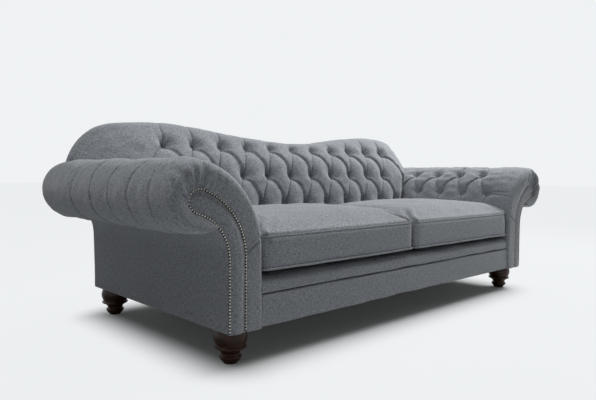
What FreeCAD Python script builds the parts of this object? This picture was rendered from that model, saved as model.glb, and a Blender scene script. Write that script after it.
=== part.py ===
import FreeCAD, Part
import math
import os

# A two-cushion scroll-arm sofa with a buttoned serpentine back, in millimetres.
# The front faces -Y, +X is to the right seen from the front, +Z is up and the floor is at Z = 0.

V = FreeCAD.Vector

# Overall sizes
overall_width = 2296.0
overall_depth = 964.0
arm_overhang = 205.0
arm_thickness = 129.0
foot_height = 112.0
arm_height = 629.0

# Rolled arm
roll_radius = 104.0
arm_bend_height = 358.0
facing_width = 66.0
facing_bend_height = 334.0
facing_head_radius = 38.0
facing_head_drop = 13.0
facing_recess = 20.0
facing_thickness = 12.0
lining = 8.0
arm_edge_round = 26.0
nail_strip_width = 9.0
nail_strip_height = 2.0
nail_strip_inset = 2.0

# Serpentine back
back_rise = 171.0
back_dip_drop = 57.0
back_dip_share = 0.6
crest_inset = 448.0
shoulder_radius = 220.0
shoulder_inset = 82.0
shoulder_wrap = 30.0
shoulder_sweep = 300.0
shoulder_sweep_depth = 190.0
shoulder_sweep_start = 2.0
back_rake = 15.0
back_top_rake = 38.0
back_bend_share = 0.657
back_bend_radius = 350.0
back_top_thickness = 128.0
back_edge_round = 56.0
back_pad = 85.0
back_top_pad = 70.0
outside_back_inset = 48.0
outside_back_thickness = 8.0

# Buttons
button_margin = 97.0
button_radius = 12.0
button_height = 8.0
button_play = 1.0
button_depth = 32.0
arm_button_depth = 22.0
dimple_radius = 42.0
back_row_shares = (0.339, 0.599, 0.841)
back_row_counts = (11, 10, 11)
arm_row_angles = (31.0, 58.0)
arm_row_count = 4
arm_row_inset = 164.0
arm_row_rear = 298.0
arm_rear_bevel = 10.0

# Seat
seam_height = 213.0
deck_height = 266.0
lip_depth = 76.0
border_setback = 4.0
border_thickness = 18.0
cushion_gap = 0.6
cushion_setback = 4.0
cushion_rear_play = 5.3
cushion_corner = 45.0
boxing_lift = 24.0
boxing_height = 104.0
cushion_crown = 64.0
cushion_edge_round = 50.0
cushion_edge_slope = 75.0
cushion_foot_inset = 70.0
piping_radius = 4.0
zip_margin = 137.0
zip_width = 24.0
zip_thickness = 1.5

# Timber and webbing
rail_thickness = 28.0
board_thickness = 25.0
rib_thickness = 18.0
rib_width = 60.0
rib_clearance = 2.0
strap_width = 50.0
strap_thickness = 3.0
arm_rail_radius = 26.0
block_length = 80.0
block_height = 46.0
stretcher_drop = 25.0
dust_cover_thickness = 1.5

# Feet
foot_inset_side = 63.5
foot_inset_front = 77.0
foot_inset_rear = 60.0
foot_radius = 53.5
glide_height = 2.0
stud_radius = 5.0
tee_nut_height = 8.0

fit = 0.3

# Derived positions
half_width = overall_width / 2
front = -overall_depth / 2
rear = overall_depth / 2
body_half = half_width - arm_overhang
seat_half = body_half - arm_thickness
roll_x = half_width - roll_radius
roll_z = arm_height - roll_radius
facing_inner = body_half - facing_width
facing_y = front + facing_recess
board_y = facing_y + facing_thickness
panel_y = rear - outside_back_thickness
head_x = roll_x
head_z = roll_z - facing_head_drop
wood_inner = facing_inner + lining
wood_outer = body_half - lining
rail_front_y = facing_y + border_setback + border_thickness
rail_top = seam_height
side_rail_top = rail_top + strap_thickness
web_top = side_rail_top + strap_thickness
side_rail_x = wood_outer - rail_thickness
pad_bottom = web_top + 1
boxing_bottom = deck_height + boxing_lift
boxing_top = boxing_bottom + boxing_height
cushion_side = piping_radius + cushion_gap
zip_length = seat_half - 2 * zip_margin
back_crest_height = arm_height + back_rise
back_dip_height = back_crest_height - back_dip_drop
back_crest_offset = half_width - crest_inset
shoulder_end = half_width - shoulder_inset
back_height = back_crest_height - deck_height
back_bend_height = deck_height + back_height * back_bend_share
top_lean = (back_crest_height - back_bend_height) * math.tan(math.radians(back_top_rake))
back_bend_depth = rear - back_top_thickness - top_lean
button_pitch = 2 * (seat_half - button_margin) / (back_row_counts[0] - 1)
arm_row_front = front + arm_row_inset
arm_button_pitch = (rear - arm_row_rear - arm_row_front) / (arm_row_count - 0.5)
tall = 2 * back_crest_height


def box(x0, x1, y0, y1, z0, z1):
    return Part.makeBox(x1 - x0, y1 - y0, z1 - z0, V(x0, y0, z0))


def mirrored(shape):
    return shape.mirror(V(0, 0, 0), V(1, 0, 0))


def both_sides(shape):
    return Part.makeCompound([shape, mirrored(shape)])


def polar(centre, radius, degrees):
    angle = math.radians(degrees)
    return (centre[0] + radius * math.cos(angle), centre[1] + radius * math.sin(angle))


def upright(point):
    return V(point[0], 0, point[1])


def sideways(point):
    return V(0, point[0], point[1])


class Outline:
    """A flat outline drawn from point to point with lines and arcs."""

    def __init__(self, start, place):
        self.place = place
        self.start = start
        self.at = start
        self.edges = []

    def line(self, x, z):
        if math.dist(self.at, (x, z)) > 1e-6:
            self.edges.append(Part.LineSegment(self.place(self.at), self.place((x, z))).toShape())
        self.at = (x, z)
        return self

    def arc(self, centre, radius, first, last):
        begin = polar(centre, radius, first)
        self.line(*begin)
        middle = polar(centre, radius, (first + last) / 2)
        end = polar(centre, radius, last)
        points = [self.place(p) for p in (begin, middle, end)]
        self.edges.append(Part.Arc(*points).toShape())
        self.at = end
        return self

    def bow(self, middle, end):
        points = [self.place(p) for p in (self.at, middle, end)]
        self.edges.append(Part.Arc(*points).toShape())
        self.at = end
        return self

    def face(self):
        self.line(*self.start)
        return Part.Face(Part.Wire(self.edges))


def across_y(face, y0, y1):
    moved = face.copy()
    moved.translate(V(0, y0, 0))
    return moved.extrude(V(0, y1 - y0, 0))


def across_x(face, x0, x1):
    moved = face.copy()
    moved.translate(V(x0, 0, 0))
    return moved.extrude(V(x1 - x0, 0, 0))


def bend_radius(side_x, side_z, centre, radius, inside):
    """Radius of the arc that leaves the upright line side_x at side_z and ends tangent to a circle."""
    a = side_x - centre[0]
    b = centre[1] - side_z
    sign = 1 if inside else -1
    return (radius ** 2 - a ** 2 - b ** 2) / (2 * a + 2 * sign * radius)


def heading(origin, target):
    return math.degrees(math.atan2(target[1] - origin[1], target[0] - origin[0]))


head = (head_x, head_z)
roll = (roll_x, roll_z)
inner_bend = bend_radius(facing_inner, facing_bend_height, head, facing_head_radius, True)
outer_bend = bend_radius(body_half, facing_bend_height, head, facing_head_radius, False)
arm_bend = bend_radius(seat_half, arm_bend_height, roll, roll_radius, True)
inner_centre = (facing_inner + inner_bend, facing_bend_height)
outer_centre = (body_half + outer_bend, facing_bend_height)
arm_centre = (seat_half + arm_bend, arm_bend_height)
inner_turn = heading(inner_centre, head)
outer_turn = heading(outer_centre, head)
arm_turn = heading(arm_centre, roll)


def scroll_face(grow):
    """The facing's outline, grown outwards all round except at the floor end."""
    outline = Outline((facing_inner - grow, foot_height), upright)
    outline.line(body_half + grow, foot_height)
    outline.arc(outer_centre, outer_bend - grow, 180, outer_turn)
    outline.arc(head, facing_head_radius + grow, outer_turn - 180, inner_turn)
    outline.arc(inner_centre, inner_bend + grow, inner_turn, 180)
    return outline.face()


def arm_face(grow):
    """The padded arm seen from the front; its outer side closes inside the facing's outline."""
    middle = facing_inner + facing_width / 2
    outline = Outline((seat_half - grow, foot_height), upright)
    outline.arc(arm_centre, arm_bend + grow, 180, arm_turn)
    outline.arc(roll, roll_radius + grow, arm_turn, -145)
    outline.line(middle, facing_bend_height)
    outline.line(middle, foot_height)
    return outline.face()


def crest_face(inset, bottom):
    """The back seen from the front: a dip, two crests and two round shoulders."""
    both = (back_crest_offset ** 2 + back_dip_drop ** 2) / (2 * back_dip_drop)
    dip_radius = both * back_dip_share
    crest_radius = both - dip_radius
    dip = (0, back_dip_height + dip_radius)
    crest = (back_crest_offset, back_crest_height - crest_radius)
    reach = crest_radius - shoulder_radius
    shoulder_x = shoulder_end - shoulder_radius
    shoulder_z = crest[1] + math.sqrt(reach ** 2 - (shoulder_x - crest[0]) ** 2)
    shoulder = (shoulder_x, shoulder_z)
    crest_end = heading(crest, shoulder)
    crest_start = heading(crest, dip)
    low = facing_inner + lining
    outline = Outline((-low, bottom), upright)
    outline.line(low, bottom)
    outline.line(low, facing_bend_height + roll_radius)
    outline.arc(shoulder, shoulder_radius - inset, -shoulder_wrap, crest_end)
    outline.arc(crest, crest_radius - inset, crest_end, crest_start)
    outline.arc(dip, dip_radius + inset, crest_start - 180, -crest_start)
    left_crest = (-crest[0], crest[1])
    left_shoulder = (-shoulder[0], shoulder[1])
    outline.arc(left_crest, crest_radius - inset, 180 - crest_start, 180 - crest_end)
    outline.arc(left_shoulder, shoulder_radius - inset, 180 - crest_end, 180 + shoulder_wrap)
    outline.line(-low, facing_bend_height + roll_radius)
    return outline.face()


def lean_line(degrees, height):
    return back_bend_depth + (height - back_bend_height) * math.tan(math.radians(degrees))


def back_front(height):
    """Depth and lean of the padded back's front at a height: two leaning lines and the arc between them."""
    half_turn = math.radians(back_top_rake - back_rake) / 2
    reach = back_bend_radius * math.tan(half_turn)
    low = back_bend_height - reach * math.cos(math.radians(back_rake))
    high = back_bend_height + reach * math.cos(math.radians(back_top_rake))
    if height <= low:
        return lean_line(back_rake, height), back_rake
    if height >= high:
        return lean_line(back_top_rake, height), back_top_rake
    centre_z = low - back_bend_radius * math.sin(math.radians(back_rake))
    centre_y = lean_line(back_rake, low) + back_bend_radius * math.cos(math.radians(back_rake))
    lean = math.degrees(math.asin((height - centre_z) / back_bend_radius))
    return centre_y - back_bend_radius * math.cos(math.radians(lean)), lean


def back_side_face(shift, bottom, back_y):
    """The back seen from the side, its front moved backwards by shift."""
    half_turn = math.radians(back_top_rake - back_rake) / 2
    reach = back_bend_radius * math.tan(half_turn)
    low = back_bend_height - reach * math.cos(math.radians(back_rake))
    centre = (
        lean_line(back_rake, low) + back_bend_radius * math.cos(math.radians(back_rake)) + shift,
        low - back_bend_radius * math.sin(math.radians(back_rake)),
    )
    top = back_crest_height + back_top_pad
    outline = Outline((lean_line(back_rake, bottom) + shift, bottom), sideways)
    outline.arc(centre, back_bend_radius, 180 - back_rake, 180 - back_top_rake)
    outline.line(lean_line(back_top_rake, top) + shift, top)
    outline.line(back_y, top)
    outline.line(back_y, bottom)
    return outline.face()


def edges_on(shape, y, keep):
    found = []
    for edge in shape.Edges:
        if all(abs(v.Y - y) < 1e-3 for v in edge.Vertexes):
            middle = edge.valueAt((edge.FirstParameter + edge.LastParameter) / 2)
            if keep(middle):
                found.append(edge)
    return found


def arm_solid():
    """The whole padded arm on the right, its front rim rounded and its rear rim bevelled."""
    solid = across_y(arm_face(0), front, rear)
    core = across_y(scroll_face(0), front - 1, rear + 1)

    def on_rim(point):
        return not core.isInside(point, 1e-3, True) and point.z > foot_height + 1

    solid = solid.makeFillet(arm_edge_round, edges_on(solid, front, on_rim))
    return solid.makeChamfer(arm_rear_bevel, edges_on(solid, rear, on_rim))


def arm_blocker(grow):
    """Everything the arm takes up, used to trim the pieces that meet it."""
    pad = across_y(arm_face(grow), front - 1, rear + 1)
    return pad.fuse(across_y(scroll_face(grow), front - 1, rear + 1))


def back_solid():
    """The whole padded back between and above the arms, its rim rounded front and rear."""
    side = across_x(back_side_face(0, deck_height + fit, rear), -half_width, half_width)
    solid = side.common(across_y(crest_face(0, deck_height - 1), 0, rear))
    rims = []
    for face in solid.Faces:
        if face.Surface.TypeId == "Part::GeomCylinder" and abs(face.Surface.Axis.y) > 0.9:
            rims += [edge for edge in face.Edges if abs(edge.Vertexes[0].X - edge.Vertexes[-1].X) > 1]
    solid = solid.makeFillet(back_edge_round, rims)
    return solid.cut(both_sides(sweep_tool()))


def sweep_tool():
    """What the right shoulder loses: its front sweeps back on a round that leans with the upper back."""
    lean = math.radians(back_top_rake)
    depth = shoulder_sweep_depth * math.cos(lean)
    radius = (shoulder_sweep ** 2 + depth ** 2) / (2 * depth)
    first = shoulder_end - shoulder_sweep
    behind = (radius - shoulder_sweep_start) / math.cos(lean)
    low, high = (lean_line(back_top_rake, z) + behind for z in (0, tall))
    corner = Outline((low - 2 * radius, 0), sideways)
    corner.line(low, 0)
    corner.line(high, tall)
    corner.line(high - 2 * radius, tall)
    round_off = Part.makeCylinder(
        radius, tall / math.cos(lean), V(first, low, 0), V(0, math.sin(lean), math.cos(lean))
    )
    return across_x(corner.face(), first, half_width).cut(round_off)


def inset_crest(inset, y0, y1):
    return across_y(crest_face(inset, foot_height), y0, y1)


def outside_back_blank(grow):
    """The flat panel that closes the rear of the back and of both arms."""
    y1 = rear + (1 if grow else 0)
    panel = inset_crest(outside_back_inset - grow, panel_y - grow, y1)
    scroll = across_y(scroll_face(grow), panel_y - grow, y1)
    lower = box(-body_half, body_half, panel_y - grow, y1, foot_height, facing_bend_height)
    middle = facing_inner + facing_width / 2
    corner = facing_bend_height + roll_radius * 1.25
    infill = box(-middle, middle, panel_y - grow, y1, foot_height, corner)
    return panel.multiFuse([scroll, mirrored(scroll), lower, infill]).removeSplitter()


def stacked(rings, point, outward, depth):
    """Eight-sided rings, each a height and a radius, stacked outwards from the bottom of a dimple."""
    levels = [[V(*polar((0, 0), radius, 45 * k), height) for k in range(9)] for height, radius in rings]
    faces = [Part.Face(Part.makePolygon(corners)) for corners in (levels[0], levels[-1])]
    for low, high in zip(levels, levels[1:]):
        for k in range(8):
            faces.append(Part.Face(Part.makePolygon([low[k], low[k + 1], high[k + 1], high[k], low[k]])))
    solid = Part.Solid(Part.Shell(faces))
    solid.Placement = FreeCAD.Placement(point - outward * depth, FreeCAD.Rotation(V(0, 0, 1), outward))
    return solid


def dimple(point, outward, depth):
    """The funnel that opens from a button at its bottom to the surface of the pad and a little past it."""
    slope = (dimple_radius - button_radius) / depth
    past = depth * 1.25
    return stacked(((0, button_radius), (past, button_radius + slope * past)), point, outward, depth)


def button(point, outward, depth):
    radius = button_radius - button_play
    rim = button_height / 2
    return stacked(((0, radius), (rim, radius), (button_height, radius * 0.6)), point, outward, depth)


def back_button_spots():
    spots = []
    for share, count in zip(back_row_shares, back_row_counts):
        height = deck_height + back_height * share
        depth, lean = back_front(height)
        angle = math.radians(lean)
        outward = V(0, -math.cos(angle), math.sin(angle))
        for k in range(count):
            spots.append((V((k - (count - 1) / 2) * button_pitch, depth, height), outward))
    return spots


def arm_button_spots():
    spots = []
    for row, angle in enumerate(arm_row_angles):
        x, z = polar(arm_centre, arm_bend, 180 - angle)
        outward = V(x - arm_centre[0], 0, z - arm_centre[1]).normalize()
        for k in range(arm_row_count):
            spots.append((V(x, arm_row_front + (k + row / 2) * arm_button_pitch, z), outward))
    return spots


def make_foot():
    """A turned foot: a small toe, a ring, a hollow neck, a bead and a broad bulb."""
    toe = foot_radius * 0.44
    ring = foot_radius * 0.66
    neck = foot_radius * 0.55
    bead = foot_radius * 0.95

    def level(part):
        return glide_height + (foot_height - glide_height) * part

    side = Outline((0, level(0)), upright)
    side.line(toe, level(0))
    side.line(ring, level(0.15))
    side.line(ring, level(0.21))
    side.line(neck, level(0.26))
    side.line(bead * 0.66, level(0.36))
    side.line(bead, level(0.43))
    side.line(bead, level(0.48))
    side.line(bead * 0.88, level(0.52))
    side.bow((foot_radius, level(0.7)), (foot_radius * 0.84, level(1)))
    side.line(0, level(1))
    solid = side.face().revolve(V(0, 0, 0), V(0, 0, 1), 360)
    return solid.cut(Part.makeCylinder(stud_radius, foot_height, V(0, 0, foot_height * 0.6)))


def foot_places():
    x = body_half - foot_inset_side
    y0 = facing_y + foot_inset_front
    y1 = rear - foot_inset_rear
    return [V(sx, sy, 0) for sx in (-x, x) for sy in (y0, y1)]


def at_feet(shape):
    copies = []
    for place in foot_places():
        copy = shape.copy()
        copy.translate(place)
        copies.append(copy)
    return Part.makeCompound(copies)


def tee_nut():
    corners = [V(*polar((0, 0), stud_radius * 2.4, 45 * k), foot_height + block_height) for k in range(9)]
    plate = Part.Face(Part.makePolygon(corners)).extrude(V(0, 0, tee_nut_height))
    return plate.cut(Part.makeCylinder(stud_radius, tall))


def corner_block(y0, y1):
    """A block in one corner of the base, bored for a stud; the tee nut lies on top of it."""
    block = box(side_rail_x - block_length, side_rail_x, y0, y1, foot_height, foot_height + block_height)
    for place in foot_places():
        block = block.cut(Part.makeCylinder(stud_radius, tall, place))
    return block


def rounded_plan(x0, x1, y0, y1, radius, z):
    corners = (
        ((x1 - radius, y1 - radius), 0),
        ((x0 + radius, y1 - radius), 90),
        ((x0 + radius, y0 + radius), 180),
        ((x1 - radius, y0 + radius), 270),
    )
    outline = Outline(polar(corners[0][0], radius, 0), lambda p: V(p[0], p[1], z))
    for centre, angle in corners:
        outline.arc(centre, radius, angle, angle + 90)
    outline.line(*outline.start)
    return Part.Wire(outline.edges)


def cushion_rear_y():
    return lean_line(back_rake, boxing_bottom) - cushion_rear_play


def cushion_plan(inset, z):
    return rounded_plan(
        cushion_side + inset,
        seat_half - cushion_side - inset,
        facing_y + cushion_setback + inset,
        cushion_rear_y() - inset,
        cushion_corner + inset / 4,
        z,
    )


def crown_arch(first, last, place):
    """A cushion's top seen from one side: a round edge at both ends and a flatter crown between them."""
    middle = (first + last) / 2
    slope = math.radians(cushion_edge_slope)
    reach = (last - first) / 2 - cushion_edge_round * math.sin(slope)
    sunk = cushion_edge_round * math.cos(slope)
    lift = cushion_crown + sunk
    radius = (reach ** 2 + lift ** 2 - cushion_edge_round ** 2) / (2 * (lift - cushion_edge_round))
    centre = (middle, boxing_top + cushion_crown - radius)
    edge = (middle + reach, boxing_top - sunk)
    far_edge = (middle - reach, boxing_top - sunk)
    turn = heading(centre, edge)
    outline = Outline((last, boxing_top), place)
    outline.arc(edge, cushion_edge_round, 90 - cushion_edge_slope, turn)
    outline.arc(centre, radius, turn, 180 - turn)
    outline.arc(far_edge, cushion_edge_round, 180 - turn, 90 + cushion_edge_slope)
    return outline.face()


def crown_panel():
    """The top panel of a cushion: one arch each way, meeting along the panel's diagonals."""
    plan = Part.Face(cushion_plan(0, boxing_bottom)).extrude(V(0, 0, tall))
    x0, x1 = plan.BoundBox.XMin, plan.BoundBox.XMax
    y0, y1 = plan.BoundBox.YMin, plan.BoundBox.YMax
    over_x = across_y(crown_arch(x0, x1, upright), y0, y1)
    over_y = across_x(crown_arch(y0, y1, sideways), x0, x1)
    return plan.common(over_x).common(over_y)


def cushion_body():
    """Boxing, crowned top and a bottom that tapers to where it rests on the deck."""
    middle = Part.Face(cushion_plan(0, boxing_bottom)).extrude(V(0, 0, boxing_height))
    resting = [cushion_plan(cushion_foot_inset, deck_height + fit), cushion_plan(0, boxing_bottom)]
    return middle.multiFuse([crown_panel(), Part.makeLoft(resting, True, True)])


def cushion_piping():
    """Two cords sewn round the edges of the boxing, flat where they meet it."""
    cords = []
    for z in (boxing_bottom, boxing_top):
        half = piping_radius / 2
        rings = [cushion_plan(0, z - piping_radius), cushion_plan(-piping_radius, z - half)]
        rings += [cushion_plan(-piping_radius, z + half), cushion_plan(0, z + piping_radius)]
        inside = Part.Face(cushion_plan(0, z - tall)).extrude(V(0, 0, 2 * tall))
        cords.append(Part.makeLoft(rings, True, True).cut(inside).Solids[0])
    return Part.makeCompound(cords)


def cushion_pieces():
    body = cushion_body()
    middle_x = seat_half / 2
    middle_z = (boxing_bottom + boxing_top) / 2
    end = middle_x - zip_length / 2
    cushion_rear = cushion_rear_y()
    tape = box(
        end, end + zip_length, cushion_rear, cushion_rear + zip_thickness,
        middle_z - zip_width / 2, middle_z + zip_width / 2,
    )
    slide_y = cushion_rear + zip_thickness + fit
    slider = box(end + 4, end + 18, slide_y, slide_y + 4, middle_z - 5, middle_z + 5)
    return {
        "seat_cushion": body.Solids[0],
        "cushion_piping": cushion_piping(),
        "cushion_zip": tape,
        "zip_slider": slider.makeChamfer(1.2, edges_on(slider, slide_y + 4, bool)),
    }


def arm_pieces():
    """The pieces of the right arm."""
    inside = across_y(scroll_face(fit), front - 1, rear + 1)
    under_seat = box(seat_half - 1, body_half, rail_front_y, rear + 1, foot_height - 1, pad_bottom)
    pad = arm_solid().cut(inside).cut(under_seat).cut(outside_back_blank(fit))
    buttons = []
    for point, outward in arm_button_spots():
        pad = pad.cut(dimple(point, outward, arm_button_depth))
        buttons.append(button(point, outward, arm_button_depth))
    skin = across_y(scroll_face(0), board_y + fit, panel_y - fit)
    skin = skin.cut(across_y(scroll_face(-lining), front, rear))
    outer_zone = Outline((wood_outer - fit, foot_height - 1), upright)
    outer_zone.arc(outer_centre, outer_bend + lining + fit, 180, outer_turn)
    outer_zone.arc(outer_centre, outer_bend - fit, outer_turn, 180)
    outer_zone.line(body_half + fit, foot_height - 1)
    outer_zone = across_y(outer_zone.face(), front, rear)
    floor_zone = box(0, half_width, front, rear, 0, foot_height + lining)
    inner_zone = box(0, wood_outer - 2 * fit, front, rear, 0, pad_bottom)
    facing = across_y(scroll_face(0), facing_y, board_y)
    strip = across_y(scroll_face(-nail_strip_inset), facing_y - nail_strip_height, facing_y)
    strip = strip.cut(across_y(scroll_face(-nail_strip_inset - nail_strip_width), front, rear))
    strip = strip.cut(floor_zone)
    board = across_y(scroll_face(-lining), board_y, board_y + board_thickness)
    rear_board = across_y(scroll_face(-lining), panel_y - board_thickness, panel_y)
    y0, y1 = board_y + board_thickness, panel_y - board_thickness
    top_rail = Part.makeCylinder(arm_rail_radius, y1 - y0, V(head_x, y0, head_z), V(0, 1, 0))
    tack_z = pad_bottom + lining
    return {
        "inside_arm": pad.Solids[0],
        "arm_buttons": Part.makeCompound(buttons),
        "outside_arm_panel": skin.common(outer_zone).Solids[0],
        "arm_lining": skin.cut(outer_zone).cut(inner_zone).Solids[0],
        "arm_facing": facing,
        "nail_strip": strip.Solids[0],
        "arm_front_board": board,
        "arm_rear_board": rear_board,
        "arm_top_rail": top_rail,
        "arm_tack_rail": box(wood_inner, side_rail_x, y0, y1, tack_z, tack_z + rail_thickness),
        "side_rail": box(side_rail_x, wood_outer, y0, y1, foot_height, side_rail_top),
    }


def back_pieces():
    """The buttoned back and the frame behind it."""
    arms = [arm_blocker(fit), mirrored(arm_blocker(fit))]
    hollow = across_x(back_side_face(back_pad, foot_height, rear + 1), -half_width, half_width)
    hollow = hollow.common(inset_crest(back_top_pad, 0, rear + 1))
    pad = back_solid().cut(hollow).cut(outside_back_blank(fit))
    for arm in arms:
        pad = pad.cut(arm)
    buttons = []
    for point, outward in back_button_spots():
        pad = pad.cut(dimple(point, outward, button_depth))
        buttons.append(button(point, outward, button_depth))
    rail_y = panel_y - rail_thickness
    low = back_top_pad + rib_width * 1.5
    top_rail = inset_crest(back_top_pad, rail_y - board_thickness, rail_y)
    top_rail = top_rail.cut(inset_crest(low, 0, rear))
    side = box(facing_inner, half_width, 0, rear, 0, arm_height + lining)
    top_rail = top_rail.cut(both_sides(side))
    shape = across_x(back_side_face(back_pad + fit, rail_top, panel_y), -rib_thickness / 2, rib_thickness / 2)
    window = across_x(
        back_side_face(back_pad + rib_width, rail_top + rib_width, rail_y), -rib_thickness, rib_thickness
    )
    ribs = []
    window = window.common(box(-tall, tall, 0, rear, 0, back_dip_height - 2 * back_top_pad))
    inner_x = button_pitch * 1.5
    outer_x = seat_half - rib_thickness / 2 - rib_clearance
    for x in (-outer_x, -inner_x, inner_x, outer_x):
        rib = shape.cut(window)
        rib.translate(V(x, 0, 0))
        rib = rib.common(inset_crest(back_top_pad, 0, panel_y)).cut(top_rail)
        ribs.append(rib.Solids[0])
    return {
        "inside_back": pad.Solids[0],
        "back_buttons": Part.makeCompound(buttons),
        "outside_back_panel": outside_back_blank(0),
        "back_top_rail": top_rail,
        "back_ribs": Part.makeCompound(ribs),
    }


def seat_rear_y():
    return lean_line(back_rake, rail_top) + back_pad


def seat_pieces():
    """Rails, webbing, platform, lip and border between the arms."""
    web_y = rail_front_y + rail_thickness
    seat_y = seat_rear_y()
    width = seat_half - fit
    straps = []
    for k in range(-5, 6):
        x = k * button_pitch
        straps.append(
            box(x - strap_width / 2, x + strap_width / 2, rail_front_y + 4, seat_y + rail_thickness - 4,
                rail_top, side_rail_top)
        )
    cross = []
    lands = side_rail_x + rail_thickness / 2
    for k in range(5):
        y = web_y + (k + 0.5) * (seat_y - web_y) / 5
        cross.append(box(-lands, lands, y - strap_width / 2, y + strap_width / 2, side_rail_top, web_top))
    lip_front = facing_y + cushion_setback
    lip_rear = lip_front + lip_depth
    lip_bottom = side_rail_top + fit
    lip = Outline((lip_front, lip_bottom), sideways)
    round_z = (deck_height - lip_bottom) / 2
    lip.arc((lip_front + round_z, lip_bottom + round_z), round_z, 180, 90)
    lip.line(lip_rear, deck_height)
    lip.line(lip_rear, lip_bottom)
    border_y = facing_y + border_setback
    deck_top = deck_height
    return {
        "front_rail": box(-wood_inner, wood_inner, rail_front_y, web_y, foot_height, rail_top),
        "seat_back_rail": box(
            -side_rail_x, side_rail_x, seat_y, seat_y + rail_thickness, foot_height, rail_top
        ),
        "back_rail": box(-wood_inner, wood_inner, panel_y - rail_thickness, panel_y, foot_height, rail_top),
        "centre_stretcher": box(
            -rail_thickness / 2, rail_thickness / 2, web_y, seat_y, foot_height, rail_top - stretcher_drop
        ),
        "seat_webbing_long": Part.makeCompound(straps),
        "seat_webbing_cross": Part.makeCompound(cross),
        "seat_platform": box(-width, width, lip_rear + fit, seat_y - fit, web_top, deck_top),
        "front_lip": across_x(lip.face(), -width, width),
        "front_border": box(-width, width, border_y, rail_front_y, foot_height, side_rail_top),
    }


def base_pieces():
    """Corner blocks, feet and their fixings, and the dust cover."""
    web_y = rail_front_y + rail_thickness
    back_y = panel_y - rail_thickness
    front_block = corner_block(web_y, web_y + block_length)
    rear_block = corner_block(back_y - block_length, back_y)
    cover = box(
        -wood_outer, wood_outer, board_y, panel_y, foot_height - dust_cover_thickness, foot_height
    )
    for place in foot_places():
        cover = cover.cut(Part.makeCylinder(foot_radius, tall, place - V(0, 0, 1)))
    stud_bottom = foot_height * 0.6
    stud_top = foot_height + block_height + tee_nut_height
    stud = Part.makeCylinder(stud_radius, stud_top - stud_bottom, V(0, 0, stud_bottom))
    glide = Part.makeCylinder(foot_radius * 0.4, glide_height)
    return {
        "corner_blocks": Part.makeCompound(both_sides(front_block).Solids + both_sides(rear_block).Solids),
        "turned_feet": at_feet(make_foot()),
        "foot_studs": at_feet(stud),
        "foot_tee_nuts": at_feet(tee_nut()),
        "foot_glides": at_feet(glide),
        "dust_cover": cover,
    }


def build():
    pieces = {}
    pieces.update(back_pieces())
    pieces.update(seat_pieces())
    pieces.update(base_pieces())
    for group in (arm_pieces(), cushion_pieces()):
        for name, shape in group.items():
            pieces[name + "_right"] = shape
            pieces[name + "_left"] = mirrored(shape)
    return pieces


os.makedirs("parts", exist_ok=True)
for node, shape in build().items():
    shape.exportStep("parts/" + node + ".step")
    print(node, len(shape.Solids), shape.isValid(), round(shape.Volume))
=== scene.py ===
import math

import bmesh
import bpy
import numpy as np
from mathutils import Matrix, Vector


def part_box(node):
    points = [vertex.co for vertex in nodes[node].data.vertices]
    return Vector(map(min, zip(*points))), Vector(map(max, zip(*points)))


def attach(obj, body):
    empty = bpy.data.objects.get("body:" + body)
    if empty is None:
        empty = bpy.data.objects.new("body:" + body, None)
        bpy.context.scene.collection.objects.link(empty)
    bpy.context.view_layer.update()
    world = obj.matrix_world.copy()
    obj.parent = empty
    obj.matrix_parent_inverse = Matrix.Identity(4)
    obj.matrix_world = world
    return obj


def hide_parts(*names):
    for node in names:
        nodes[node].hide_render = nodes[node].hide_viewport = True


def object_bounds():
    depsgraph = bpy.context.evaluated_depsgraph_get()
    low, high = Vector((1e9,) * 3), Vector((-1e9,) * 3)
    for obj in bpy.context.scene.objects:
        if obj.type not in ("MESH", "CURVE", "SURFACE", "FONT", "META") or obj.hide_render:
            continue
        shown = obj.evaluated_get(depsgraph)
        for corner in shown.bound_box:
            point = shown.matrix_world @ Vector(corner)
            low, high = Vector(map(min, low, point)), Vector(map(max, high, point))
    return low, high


# The scroll-arm buttoned sofa in woven grey cloth, in metres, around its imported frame.
# The front faces -Y, the seat's middle is at X = 0 and the floor is at Z = 0.

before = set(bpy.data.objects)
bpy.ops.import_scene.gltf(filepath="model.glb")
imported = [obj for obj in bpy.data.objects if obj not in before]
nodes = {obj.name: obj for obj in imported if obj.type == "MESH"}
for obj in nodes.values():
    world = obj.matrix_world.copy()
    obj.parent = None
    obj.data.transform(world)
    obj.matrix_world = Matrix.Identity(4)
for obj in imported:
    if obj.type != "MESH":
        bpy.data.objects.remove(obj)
cad_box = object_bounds()

SIDES = ((-1, "left"), (1, "right"))

# Places read from the frame
FRONT, REAR = cad_box[0].y, cad_box[1].y
HALF_WIDTH = cad_box[1].x
SEAT_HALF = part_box("inside_arm_right")[0].x
ARM_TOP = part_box("inside_arm_right")[1].z
FOOT_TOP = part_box("front_border")[0].z
FACING_IN, FACING_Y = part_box("arm_facing_right")[0].x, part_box("arm_facing_right")[0].y
CREST_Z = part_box("inside_back")[1].z
DECK_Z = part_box("seat_platform")[1].z
SEAM_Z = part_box("front_border")[1].z
HEM_Z = FOOT_TOP + 0.001

# Arm outline
ROLL_R = 0.104
ARM_BEND_Z = 0.358
FACING_W = 0.066
FACING_BEND_Z = 0.334
HEAD_R = 0.038
HEAD_DROP = 0.013
BODY_HALF = FACING_IN + FACING_W
ROLL = (HALF_WIDTH - ROLL_R, ARM_TOP - ROLL_R)
HEAD = (ROLL[0], ROLL[1] - HEAD_DROP)

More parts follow.
